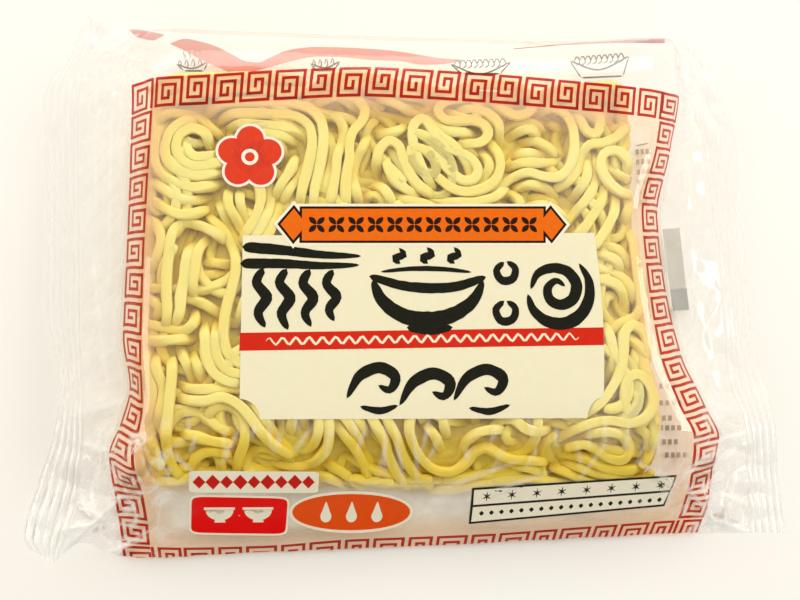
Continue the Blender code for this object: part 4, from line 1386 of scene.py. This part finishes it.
    (1, ((-84.5, -53), (-83.2, -58.5), (-82.2, -64))),
    (2, ((-81.5, -24), (-81, -30), (-79, -36), (-79.5, -43), (-80.5, -50))),
    (1, ((-85.5, -26), (-84.8, -33), (-83.5, -40), (-84, -47))),
    (1, ((-71, -57), (-66, -60.5), (-60, -63.5), (-53, -64.5), (-46, -65))),
    # along the front
    (1, ((-38, -41), (-39.3, -47), (-38.7, -51.6), (-36, -54), (-33, -53), (-31.4, -49.5), (-31, -45),
         (-32, -40))),
    (1, ((-28.5, -41), (-28, -48), (-28.6, -53), (-31.6, -57), (-36, -58.8), (-41, -58.5), (-46, -57))),
    (1, ((-29.5, -41), (-26, -46), (-22.5, -50.6), (-19.3, -55), (-16.7, -59.5), (-15.2, -64.5))),
    (1, ((-26, -41), (-22.4, -46), (-19, -50.8), (-16.3, -55.5), (-13.5, -60))),
    (1, ((-22.5, -41), (-19, -46), (-16, -51), (-13.8, -56.5))),
    (1, ((-34, -56), (-29, -57.5), (-25, -59.8), (-21.4, -62.4), (-17.5, -66))),
    (1, ((-17.5, -40), (-14.4, -46.5), (-11.5, -51), (-9.7, -56), (-7, -61), (-3, -65.5))),
    (1, ((-13.5, -40), (-10, -46.5), (-7.5, -51), (-5.3, -56), (-1.5, -61), (4, -65))),
    (1, ((-41, -60.7), (-34, -61), (-27, -62.5), (-21, -65.7))),
    (1, ((-3, -41), (-4, -48), (-2.3, -53), (1, -57.3), (5.5, -60.2), (10, -60.3), (13.8, -57.8),
         (16.3, -54.5), (19.5, -53.2), (23, -54.8), (27, -56.5), (33, -57), (39, -57.5))),
    (1, ((-8.5, -41), (-6.3, -46), (-5.8, -51), (-2.8, -56.5), (1, -60.5))),
    (1, ((25, -47.8), (20.5, -48), (16, -49.3), (13.3, -52), (12.4, -56), (9.5, -58))),
    (1, ((0.8, -46.3), (4, -50), (6.7, -54.5), (8.5, -58))),
    (1, ((5, -41), (6.3, -46), (8.3, -51), (9, -56))),
    (1, ((39, -47.4), (34.5, -48.4), (31, -47.4), (28, -45), (24.4, -45), (21.5, -47.6), (21, -51.5),
         (23.4, -54.3), (27.3, -55.4), (31.8, -54.2), (34.6, -51), (35.3, -46), (34, -41))),
    (1, ((16, -41), (17, -46), (21, -50.5), (23, -56), (21, -60))),
    (1, ((17.8, -60), (17.6, -56.3), (21, -55.6), (26, -57.5), (32, -59), (38, -60.5))),
    (1, ((41.5, -49), (38, -51.7), (37.4, -56), (38.3, -60.5), (39.7, -65))),
    (1, ((29, -51.5), (25.8, -50.4), (26, -47.9), (29.5, -49.5))),
    (1, ((27.5, -41), (31, -44.3), (36, -44.8), (41, -42.5), (46, -44))),
    (2, ((4, -64.5), (11, -64), (19, -62.6), (27, -62), (35, -63.5), (43, -64))),
    # the front right corner
    (1, ((40.5, -51.5), (45.5, -48.5), (51, -46.2), (57, -45.1), (63, -45.7), (67.6, -44.8),
         (70.6, -41.6), (71.2, -37.4), (69.5, -33), (66.2, -30.8), (63.2, -32.4), (62.1, -36.3),
         (62.5, -41), (63.5, -46))),
    (1, ((70.5, -27), (70.3, -21.5), (68.5, -17.2), (65.3, -15.7), (62.8, -18), (62.2, -23.5),
         (61.2, -29), (58.5, -34.7), (54.7, -39.6), (50, -43), (44, -46))),
    (1, ((57, -35.5), (53.9, -36.6), (52.4, -39.6), (53.3, -43.5))),
    (1, ((42, -52.7), (47.3, -50), (52.8, -48.8), (58.5, -48.6), (62.9, -50.2), (64.8, -53.5),
         (62.8, -56.6), (58.8, -56.3), (54.6, -54), (50.3, -52.3), (45, -53.3))),
    (1, ((57, -15), (58.4, -21), (59, -26.5), (57.6, -31.5), (54, -35))),
    (1, ((66.8, -33.8), (66.2, -38), (67.3, -42))),
    (1, ((40, -53.5), (45.5, -54.8), (51.5, -56.5), (57, -59), (63, -60), (69.5, -59))),
    (1, ((66, -46), (69.6, -48.8), (71.7, -53), (71, -57.5))),
    (1, ((67, -22), (66.3, -26.5), (68.3, -30), (72.5, -32))),
    (2, ((42, -57.5), (48, -60), (55, -62.3), (62, -63.3), (69, -61.5))),
    (1, ((73.5, -40), (73.2, -46), (74.3, -52), (73.3, -58))),
    # the right edge
    (1, ((66.7, 15), (69, 9.5), (68.6, 3.5), (69.6, -3), (69, -9), (66.4, -13), (62.4, -14.5),
         (59.3, -17.3), (57.5, -21.5))),
    (1, ((52, 9.8), (57.5, 10), (61.7, 8.7), (64.8, 5.5), (65.8, 1))),
    (1, ((52, 6.2), (57, 6.4), (61, 4.7), (63, 1.3))),
    (1, ((52, 2), (57.5, 1.7), (62, 0.3), (65.3, -3), (66.3, -8))),
    (1, ((52, -1.6), (57, -1.6), (61, -3.2), (63.4, -6.5), (64, -11), (61, -13.5))),
    (1, ((57, -10.5), (58, -6.6), (60.7, -6), (61, -10))),
    (1, ((64, 22), (65, 17), (62.7, 12.8), (57, 12.7))),
    (1, ((72, 21), (72.3, 14), (72, 7), (73, 0), (72.6, -7), (73.3, -14), (73, -21))),
)


def beside(route, offset):
    """The route moved sideways by the offset, to its left."""
    return route + offset * sideways(route)


def cells_of(route):
    """The cells of the plan that a route passes."""
    return ((route + FIELD_ORIGIN) / CELL).astype(int)


def laid_as_listed(step):
    """The routes that show against the front film, each noodle of a group on its own."""
    routes = []
    for count, places in ROUTES:
        middle = smooth_route(places, step)
        middle[:, 0] = np.minimum(middle[:, 0], along_pair(BLOCK_RIGHT, middle[:, 1]) - CONTACT)
        for k in range(count):
            routes.append(beside(middle, (k - (count - 1) / 2) * 2 * CONTACT * 1.08))
    return routes


def swirl(seed, size):
    """A random direction field whose lines run along the block's edges and swirl inside it: the
    lines of equal height of a random height map that falls to nought at the edges."""

    def height(x, y):
        u = (x - BLOCK_MIDDLE[0]) / BLOCK_HALF[0]
        v = (y - BLOCK_MIDDLE[1]) / BLOCK_HALF[1]
        edge = np.clip(1 - u ** 8, 0, 1) * np.clip(1 - v ** 8, 0, 1)
        return edge * (0.35 + smooth_noise(x, y, size, seed))

    def direction(places):
        x, y = places.T
        reach = 0.5
        slope_x = height(x + reach, y) - height(x - reach, y)
        slope_y = height(x, y + reach) - height(x, y - reach)
        way = np.stack([-slope_y, slope_x], axis=1)
        return way / (np.linalg.norm(way, axis=1, keepdims=True) + 1e-12)

    return direction


def laid_at_random(seed, size, step, share_kept):
    """A layer of noodles side by side along the lines of a random swirl. Many lines are followed
    at once from random starts; then one after another keeps the stretch round its start that no
    kept line has covered yet."""
    choose = np.random.default_rng(seed)
    direction = swirl(seed, size)
    count = 700
    starts = np.array(BLOCK_MIDDLE) + (choose.uniform(-0.985, 0.985, (count, 2)) * BLOCK_HALF)
    halves = []
    for sense in (1, -1):
        places = starts
        steps = [places]
        for _ in range(int(75 / step)):
            middle = places + sense * step / 2 * direction(places)
            places = places + sense * step * direction(middle)
            steps.append(places)
        halves.append(np.stack(steps))
    lines = np.concatenate([halves[1][:0:-1], halves[0]])
    start_at = len(halves[1]) - 1
    covered = np.zeros([int(size / CELL) for size in FIELD], bool)
    reach = int(2 * CONTACT * 0.97 / CELL)
    di, dj = np.mgrid[-reach:reach + 1, -reach:reach + 1]
    near = di ** 2 + dj ** 2 <= reach ** 2
    di, dj = di[near], dj[near]
    kept = []
    for k in range(count):
        line = lines[:, k]
        cell = cells_of(line)
        inside = (np.abs(line - BLOCK_MIDDLE) < np.array(BLOCK_HALF)).all(axis=1)
        inside &= line[:, 1] < along_pair(BLOCK_BACK, line[:, 0]) - CONTACT
        inside &= line[:, 0] < along_pair(BLOCK_RIGHT, line[:, 1]) - CONTACT
        back_near_start = np.linalg.norm(line - line[start_at], axis=1) < step * 1.5
        far = np.abs(np.arange(len(line)) - start_at) > 4
        free = inside & ~covered[cell[:, 0], cell[:, 1]] & ~(back_near_start & far)
        if not free[start_at]:
            continue
        stops = np.flatnonzero(~free)
        first = stops[stops < start_at].max(initial=-1) + 1
        last = stops[stops > start_at].min(initial=len(line))
        if (last - first) * step < SHORTEST:
            continue
        stretch = line[first:last]
        spot = cell[first:last]
        covered[spot[:, :1] + di, spot[:, 1:] + dj] = True
        if choose.uniform() < share_kept:
            kept.append(stretch)
    return kept


def settle(route, envelope):
    """Heights of a noodle pushed up towards the film until it meets what is there already. The
    envelope holds, for each cell of the plan, the underside of everything laid so far."""
    reach = int(CONTACT / CELL) + 1
    di, dj = np.mgrid[-reach:reach + 1, -reach:reach + 1]
    distance = np.hypot(di, dj) * CELL
    near = distance < CONTACT
    di, dj = di[near], dj[near]
    depth = np.sqrt(CONTACT ** 2 - distance[near] ** 2)
    cell = cells_of(route)
    rows, columns = cell[:, :1] + di, cell[:, 1:] + dj
    room = (envelope[rows, columns] - depth).min(axis=1)
    wide = np.pad(room, 3, mode="edge")
    lowest = np.stack([wide[k:k + len(room)] for k in range(7)]).min(axis=0)
    kernel = np.array([1, 4, 8, 10, 8, 4, 1]) / 36
    heights = np.convolve(np.pad(lowest, 3, mode="edge"), kernel, mode="valid")
    np.minimum.at(envelope, (rows, columns), heights[:, None] - depth)
    return heights


def tucked_under(path):
    """The path with both its ends bent down below the noodles beside it."""
    step = np.linalg.norm(path[1] - path[0])
    from_end = np.minimum(np.arange(len(path)), np.arange(len(path))[::-1]) * step
    path = path.copy()
    path[:, 2] -= TUCK_DEPTH * np.clip(1 - from_end / TUCK_LENGTH, 0, 1) ** 1.5
    return path


def block_outline(step):
    """The block's outline, anticlockwise in even steps, drawn in to the middles of the outermost
    noodles."""
    half = np.array(BLOCK_HALF) - EDGE_INSET
    edge = oval(BLOCK_MIDDLE, (half[0], 0), (0, half[1]), BLOCK_SQUARENESS, 900, 2)[-1]
    edge[:, 0] = np.minimum(edge[:, 0], along_pair(BLOCK_RIGHT, edge[:, 1]) - EDGE_INSET)
    edge[:, 1] = np.minimum(edge[:, 1], along_pair(BLOCK_BACK, edge[:, 0]) - EDGE_INSET)
    length = np.concatenate([[0], np.cumsum(np.linalg.norm(np.diff(edge, axis=0), axis=1))])
    at = np.arange(0, length[-1], step)
    return np.stack([np.interp(at, length, edge[:, k]) for k in range(2)], axis=1)


def laid_round_the_sides(step):
    """Noodles against the sides of the block: lengths of its outline one above another, wandering
    up and down and in and out, with their ends turned in, and cut where they would pass the film."""
    choose = np.random.default_rng(41)
    outline = block_outline(step)
    paths = []
    for course in range(COURSES):
        start = choose.integers(len(outline))
        left = len(outline)
        while left > 20:
            count = min(left, int(choose.uniform(50, 130) / step))
            left -= count
            plan = outline[(start + left + np.arange(count)) % len(outline)]
            at = np.arange(count) * step
            phase, slow, quick = choose.uniform(0, 6.28), choose.uniform(45, 80), choose.uniform(20, 32)
            rise = 1.9 * np.sin(2 * np.pi * at / slow + phase) + 0.7 * np.sin(2 * np.pi * at / quick)
            turned_in = 3.0 * np.clip(1 - np.minimum(at, at[::-1]) / 6, 0, 1) ** 1.5
            inward = 0.7 * np.sin(2 * np.pi * at / 31 + 2 * phase) + turned_in
            plan = beside(plan, (0.6 + inward)[:, None])
            low = look_up(BACK_HEIGHTS, plan[:, 0], plan[:, 1])
            height = low + 2.2 + COURSE_RISE * course + rise
            room = look_up(FRONT_HEIGHTS, plan[:, 0], plan[:, 1]) - 1.6
            height = np.maximum(height, low + 1.6)
            stops = np.flatnonzero(height > room)
            edges = np.concatenate([[-1], stops, [count]])
            for first, last in zip(edges[:-1] + 1, edges[1:]):
                if (last - first) * step > 14:
                    paths.append(np.column_stack([plan, height])[first:last])
    return paths


def strand_mesh(path, sides, turn):
    """One noodle: a rounded square section carried along the path, its flat sides level but for a
    slow twist, with rounded ends, and pressed flat where it would pass the film."""
    ahead = onward(path)
    across = np.cross((0, 0, 1), ahead)
    across /= np.linalg.norm(across, axis=1, keepdims=True)
    upward = np.cross(ahead, across)
    stretch = np.arange(len(path)) / len(path)
    twist = 0.4 * np.sin(turn + 7 * stretch) + 0.2 * np.sin(2.7 * turn + 17 * stretch)
    u, v = superellipse(np.linspace(0, 2 * np.pi, sides, endpoint=False), SQUARENESS)
    wide, high = STRAND_WIDE / 2 * u, STRAND_HIGH / 2 * v
    swell = 1 + 0.05 * np.sin(3 * turn + 11 * stretch)
    ends = np.minimum(np.arange(len(path)), np.arange(len(path))[::-1])
    swell = swell * np.array([0.72, 0.95, 1.0])[np.minimum(ends, 2)]
    cosine, sine = np.cos(twist)[:, None], np.sin(twist)[:, None]
    side_part = (wide * cosine - high * sine) * swell[:, None]
    up_part = (wide * sine + high * cosine) * swell[:, None]
    rings = (path[:, None] + side_part[..., None] * across[:, None]
             + up_part[..., None] * upward[:, None])
    tips = np.stack([path[0] - 0.45 * ahead[0], path[-1] + 0.45 * ahead[-1]])
    points = np.concatenate([rings.reshape(-1, 3), tips])
    points[:, 2] = np.clip(points[:, 2], look_up(BACK_HEIGHTS, points[:, 0], points[:, 1]) + 0.15,
                           look_up(FRONT_HEIGHTS, points[:, 0], points[:, 1]) - 0.35)
    quads = grid_faces(len(path), sides, wrap=True)[:, ::-1]
    j = np.arange(sides)
    k = (j + 1) % sides
    last = (len(path) - 1) * sides
    start_tip, end_tip = len(path) * sides, len(path) * sides + 1
    caps = np.concatenate([np.stack([k, j, np.full(sides, start_tip)], 1),
                           np.stack([last + j, last + k, np.full(sides, end_tip)], 1)])
    return points, quads, caps


PAINTED_LIGHT_DEPTH = 4.0                   # painted light: how deep under the film the dough is paler, and how much
PAINTED_LIGHT_BY_Y = ((-90, 0.0), (-54, 0.15), (-46, 0.9), (90, 1.0))


def noodle_piece(name, paths, sides, material, nearest_film):
    """All the noodles of one layer as one mesh. The tone is partly each noodle's own, and partly painted
    light: paler where the dough lies near the film, on the lit tops over the plateau, and deep yellow in
    the shade deeper down and on the front slope."""
    tones = np.random.default_rng(len(paths))
    points, faces, tone = [], [], []
    start = 0
    for path in paths:
        corners, quads, caps = strand_mesh(path, sides, tones.uniform(0, 6.28))
        depth = np.abs(nearest_film(corners[:, 0], corners[:, 1]) - corners[:, 2])
        # painted light: paler near the film, deeper yellow on the shaded front slope
        painted_light = np.clip(1 - depth / PAINTED_LIGHT_DEPTH, 0, 1) * along_pair(PAINTED_LIGHT_BY_Y, corners[:, 1])
        points.append(corners)
        faces += (quads + start).tolist() + (caps + start).tolist()
        tone.append(0.25 * tones.uniform(0, 1) + 0.75 * painted_light)
        start += len(corners)
    make_piece(name, np.concatenate(points), faces, material, np.concatenate(tone))


def noodle_dough():
    """Soft steamed wheat noodle: pale yellow, a little see-through, with a thin film of oil and a
    fine grain. The tone runs from deep yellow to pale, partly by each noodle's own random tone and
    partly as painted light and painted shade."""
    material, tree = new_material("steamed_wheat_noodle")
    tone = mesh_tone(tree)
    cloud = object_noise(tree, 7, 3.0)
    strand = add_node(tree, "Mix", {0: 0.25}, data_type="FLOAT")
    tree.links.new(tone, strand.inputs[2])
    tree.links.new(cloud.outputs["Fac"], strand.inputs[3])
    grain = object_noise(tree, 1.0, 3.0)
    bump = add_node(tree, "Bump", {"Strength": 0.22, "Distance": 0.0003},
                    {"Height": grain.outputs["Fac"]})
    shader = add_node(tree, "BsdfPrincipled",
                      {"Roughness": 0.5, "Specular IOR Level": 0.35, "Subsurface Weight": 0.3,
                       "Subsurface Radius": (1.0, 0.8, 0.4), "Subsurface Scale": 0.0015},
                      {"Base Color": mixed_colour(tree, strand.outputs[0], "#eccb10", "#f8ec96"),
                       "Normal": bump.outputs[0]})
    finish_material(tree, shader)
    return material


def packed_relief(x, y):
    """The relief of noodles lying side by side: half-round ridges along the lines of equal value of
    two wandering fields, of which the higher one shows."""
    bundles = []
    for seed, (lean_x, lean_y) in ((3, (0.5, 0.86)), (4, (0.94, -0.34))):
        field = lean_x * x + lean_y * y + 11 * smooth_noise(x, y, 44, seed)
        from_middle = 2 * np.mod(field / STRAND_WIDE, 1) - 1
        ridges = RELIEF * np.sqrt(np.clip(1 - from_middle ** 2, 0, 1))
        bundles.append(ridges + 3 * smooth_noise(x, y, 26, seed + 10))
    return np.maximum(*bundles)


def build_mass(dough):
    """The noodles deep inside as one mass: a lens of two polar grids, one under the front film with
    the relief of packed noodles, and one a little over the back film, joined at the rim."""
    half = np.array(BLOCK_HALF) - MASS_INSET
    grids = [oval(BLOCK_MIDDLE, (half[0], 0), (0, half[1]), BLOCK_SQUARENESS, 560, rings)[:, :-1]
             for rings in (100, 8)]
    for grid in grids:
        grid[..., 0] = np.minimum(grid[..., 0], along_pair(BLOCK_RIGHT, grid[..., 1]) - MASS_INSET)
    top = on_front(grids[0], -MASS_DEPTH)
    top[..., 2] += packed_relief(grids[0][..., 0], grids[0][..., 1])
    bottom = on_back(grids[1], 2.5)
    top[-1, :, 2] = np.maximum(top[-1, :, 2], bottom[-1, :, 2])
    points = np.concatenate([top, bottom[::-1]])
    make_piece("noodle_mass", points, grid_faces(*points.shape[:2], wrap=True).tolist(), dough,
               np.full(points.shape[:2], MASS_PAINTED_LIGHT))


def build_noodles():
    """The noodles: those against the front film, the mass, those pushed up under the first ones,
    those laid upside down against the back film, and those round the sides."""
    dough = noodle_dough()
    x, y = np.meshgrid(np.arange(0, FIELD[0], CELL) - FIELD_ORIGIN[0],
                       np.arange(0, FIELD[1], CELL) - FIELD_ORIGIN[1], indexing="ij")

    def under_front(x, y):
        """How high noodles may reach under the front film."""
        return look_up(FRONT_HEIGHTS, x, y) - 0.35

    def over_back(x, y):
        return -(look_up(BACK_HEIGHTS, x, y) + 0.2)

    def drape(routes, envelope):
        return [np.column_stack([route, settle(route, envelope)]) for route in routes]

    envelope = under_front(x, y) + PRESSED
    top = [tucked_under(path) for path in drape(laid_as_listed(1.2), envelope)]
    envelope = np.minimum(envelope + FILLING, under_front(x, y) + PRESSED)
    build_mass(dough)
    noodle_piece("noodles_against_front", top, 12, dough, under_front)
    middle = []
    for seed, size, kept in ((11, 42, 1.0), (12, 50, 0.85), (13, 60, 0.7)):
        middle += drape(laid_at_random(seed, size, 1.7, kept), envelope)
    noodle_piece("noodles_inside", middle, 9, dough, under_front)
    envelope = over_back(x, y) + PRESSED
    under = []
    for seed, size, kept in ((21, 40, 1.0), (22, 50, 0.9), (23, 55, 0.7), (24, 60, 0.6)):
        under += drape(laid_at_random(seed, size, 1.8, kept), envelope)
    flipped = [path * (1, 1, -1) for path in under]
    noodle_piece("noodles_against_back", flipped, 8, dough,
                 lambda x, y: look_up(BACK_HEIGHTS, x, y))
    noodle_piece("noodles_round_the_sides", laid_round_the_sides(1.7), 9, dough, under_front)


# ------------------------------------------------------------------ camera, floor and light
TILT_FRONT, TILT_LEFT = np.radians(10.0), np.radians(5.0)
CAMERA_REACH = 0.340                # metres from the lens to the place that it looks at
LOOK_AT = np.array((-0.0046, -0.0040, 0.0))
LENS = 46                           # millimetres, on a sensor 36 mm wide
FLOOR_RADIUS = 0.9
DARK_TOWARDS = (0.0, -0.50, 0.866)  # the room is dark above the front, where the flat film mirrors it


def aim(lamp, place, target):
    """Puts a lamp at a place, shining at the target."""
    lamp.location = place
    lamp.rotation_euler = (Vector(target) - Vector(place)).to_track_quat("-Z", "Y").to_euler()


def build_camera():
    """The camera, which looks down on the pack from a little in front and to the left."""
    forward = np.array((np.sin(TILT_LEFT) * np.cos(TILT_FRONT), np.sin(TILT_FRONT),
                        -np.cos(TILT_LEFT) * np.cos(TILT_FRONT)))
    camera = bpy.data.objects.new("camera", bpy.data.cameras.new("camera"))
    bpy.context.collection.objects.link(camera)
    camera.data.sensor_width = 36
    camera.data.lens = LENS
    camera.location = LOOK_AT - forward * CAMERA_REACH
    turn = Matrix.Rotation(-TILT_LEFT, 3, "Y") @ Matrix.Rotation(TILT_FRONT, 3, "X")
    camera.rotation_euler = turn.to_euler()
    bpy.context.scene.camera = camera


def build_floor():
    """A round matt white table top, just under the pack."""
    angle = np.linspace(0, 2 * np.pi, 128, endpoint=False)
    height = np.full(128, box_low[2] - 0.0002)
    rim = np.stack([FLOOR_RADIUS * np.cos(angle), FLOOR_RADIUS * np.sin(angle), height], axis=1)
    mesh = bpy.data.meshes.new("floor")
    mesh.from_pydata(rim.tolist(), [], [list(range(128))])
    floor = bpy.data.objects.new("floor", mesh)
    bpy.context.collection.objects.link(floor)
    material, tree = new_material("matt_white_table")
    cloud = object_noise(tree, 60, 2.0)
    shader = add_node(tree, "BsdfPrincipled", {"Roughness": 0.75, "Specular IOR Level": 0.2},
                      {"Base Color": mixed_colour(tree, cloud.outputs["Fac"], "#f7f6f3", "#f9f8f6")})
    finish_material(tree, shader)
    mesh.materials.append(material)


def area_light(name, place, size, power, mirrored=True):
    """A rectangular lamp aimed at the pack. One that isn't mirrored gives light but no shine."""
    light = bpy.data.lights.new(name, "AREA")
    light.shape = "RECTANGLE"
    light.size, light.size_y = size
    light.energy = power
    item = bpy.data.objects.new(name, light)
    item.visible_glossy = mirrored
    bpy.context.collection.objects.link(item)
    aim(item, place, (0, 0, 0))


def build_light():
    """A bright room that is dark above the front, windows behind and at both sides whose shine
    draws the film's ribs and folds, and two soft panels that give light but no shine."""
    bpy.context.scene.view_settings.view_transform = "Standard"
    world = bpy.data.worlds.new("room")
    world.use_nodes = True
    tree = world.node_tree
    place = add_node(tree, "TexCoord")
    nearness = add_node(tree, "VectorMath", {1: DARK_TOWARDS},
                        {0: place.outputs["Generated"]}, operation="DOT_PRODUCT")
    level = add_node(tree, "MapRange",
                     {"From Min": 0.28, "From Max": 0.68, "To Min": 0.87, "To Max": 0.06},
                     {"Value": nearness.outputs["Value"]})
    background = tree.nodes["Background"]
    background.inputs["Color"].default_value = linear("#fff0cd")
    tree.links.new(level.outputs[0], background.inputs["Strength"])
    bpy.context.scene.world = world
    area_light("window_behind", (-0.05, 0.60, 0.46), (1.2, 0.20), 2.5)
    area_light("window_left", (-0.72, -0.08, 0.50), (0.5, 0.15), 1.2)
    area_light("window_right", (0.72, -0.05, 0.50), (0.5, 0.15), 1.6)
    area_light("overhead_panel", (0.08, 0.24, 0.88), (0.9, 0.7), 3.4, mirrored=False)
    area_light("front_fill", (0.06, -0.70, 0.34), (1.0, 0.3), 0.95, mirrored=False)


bpy.context.scene.unit_settings.system = "METRIC"
build_camera()
build_floor()
build_light()
build_film()
build_fin_seal()
build_frame_print()
build_painted_veil()
build_label()
build_banner()
build_blossom()
build_front_marks()
build_back_print()
build_noodles()
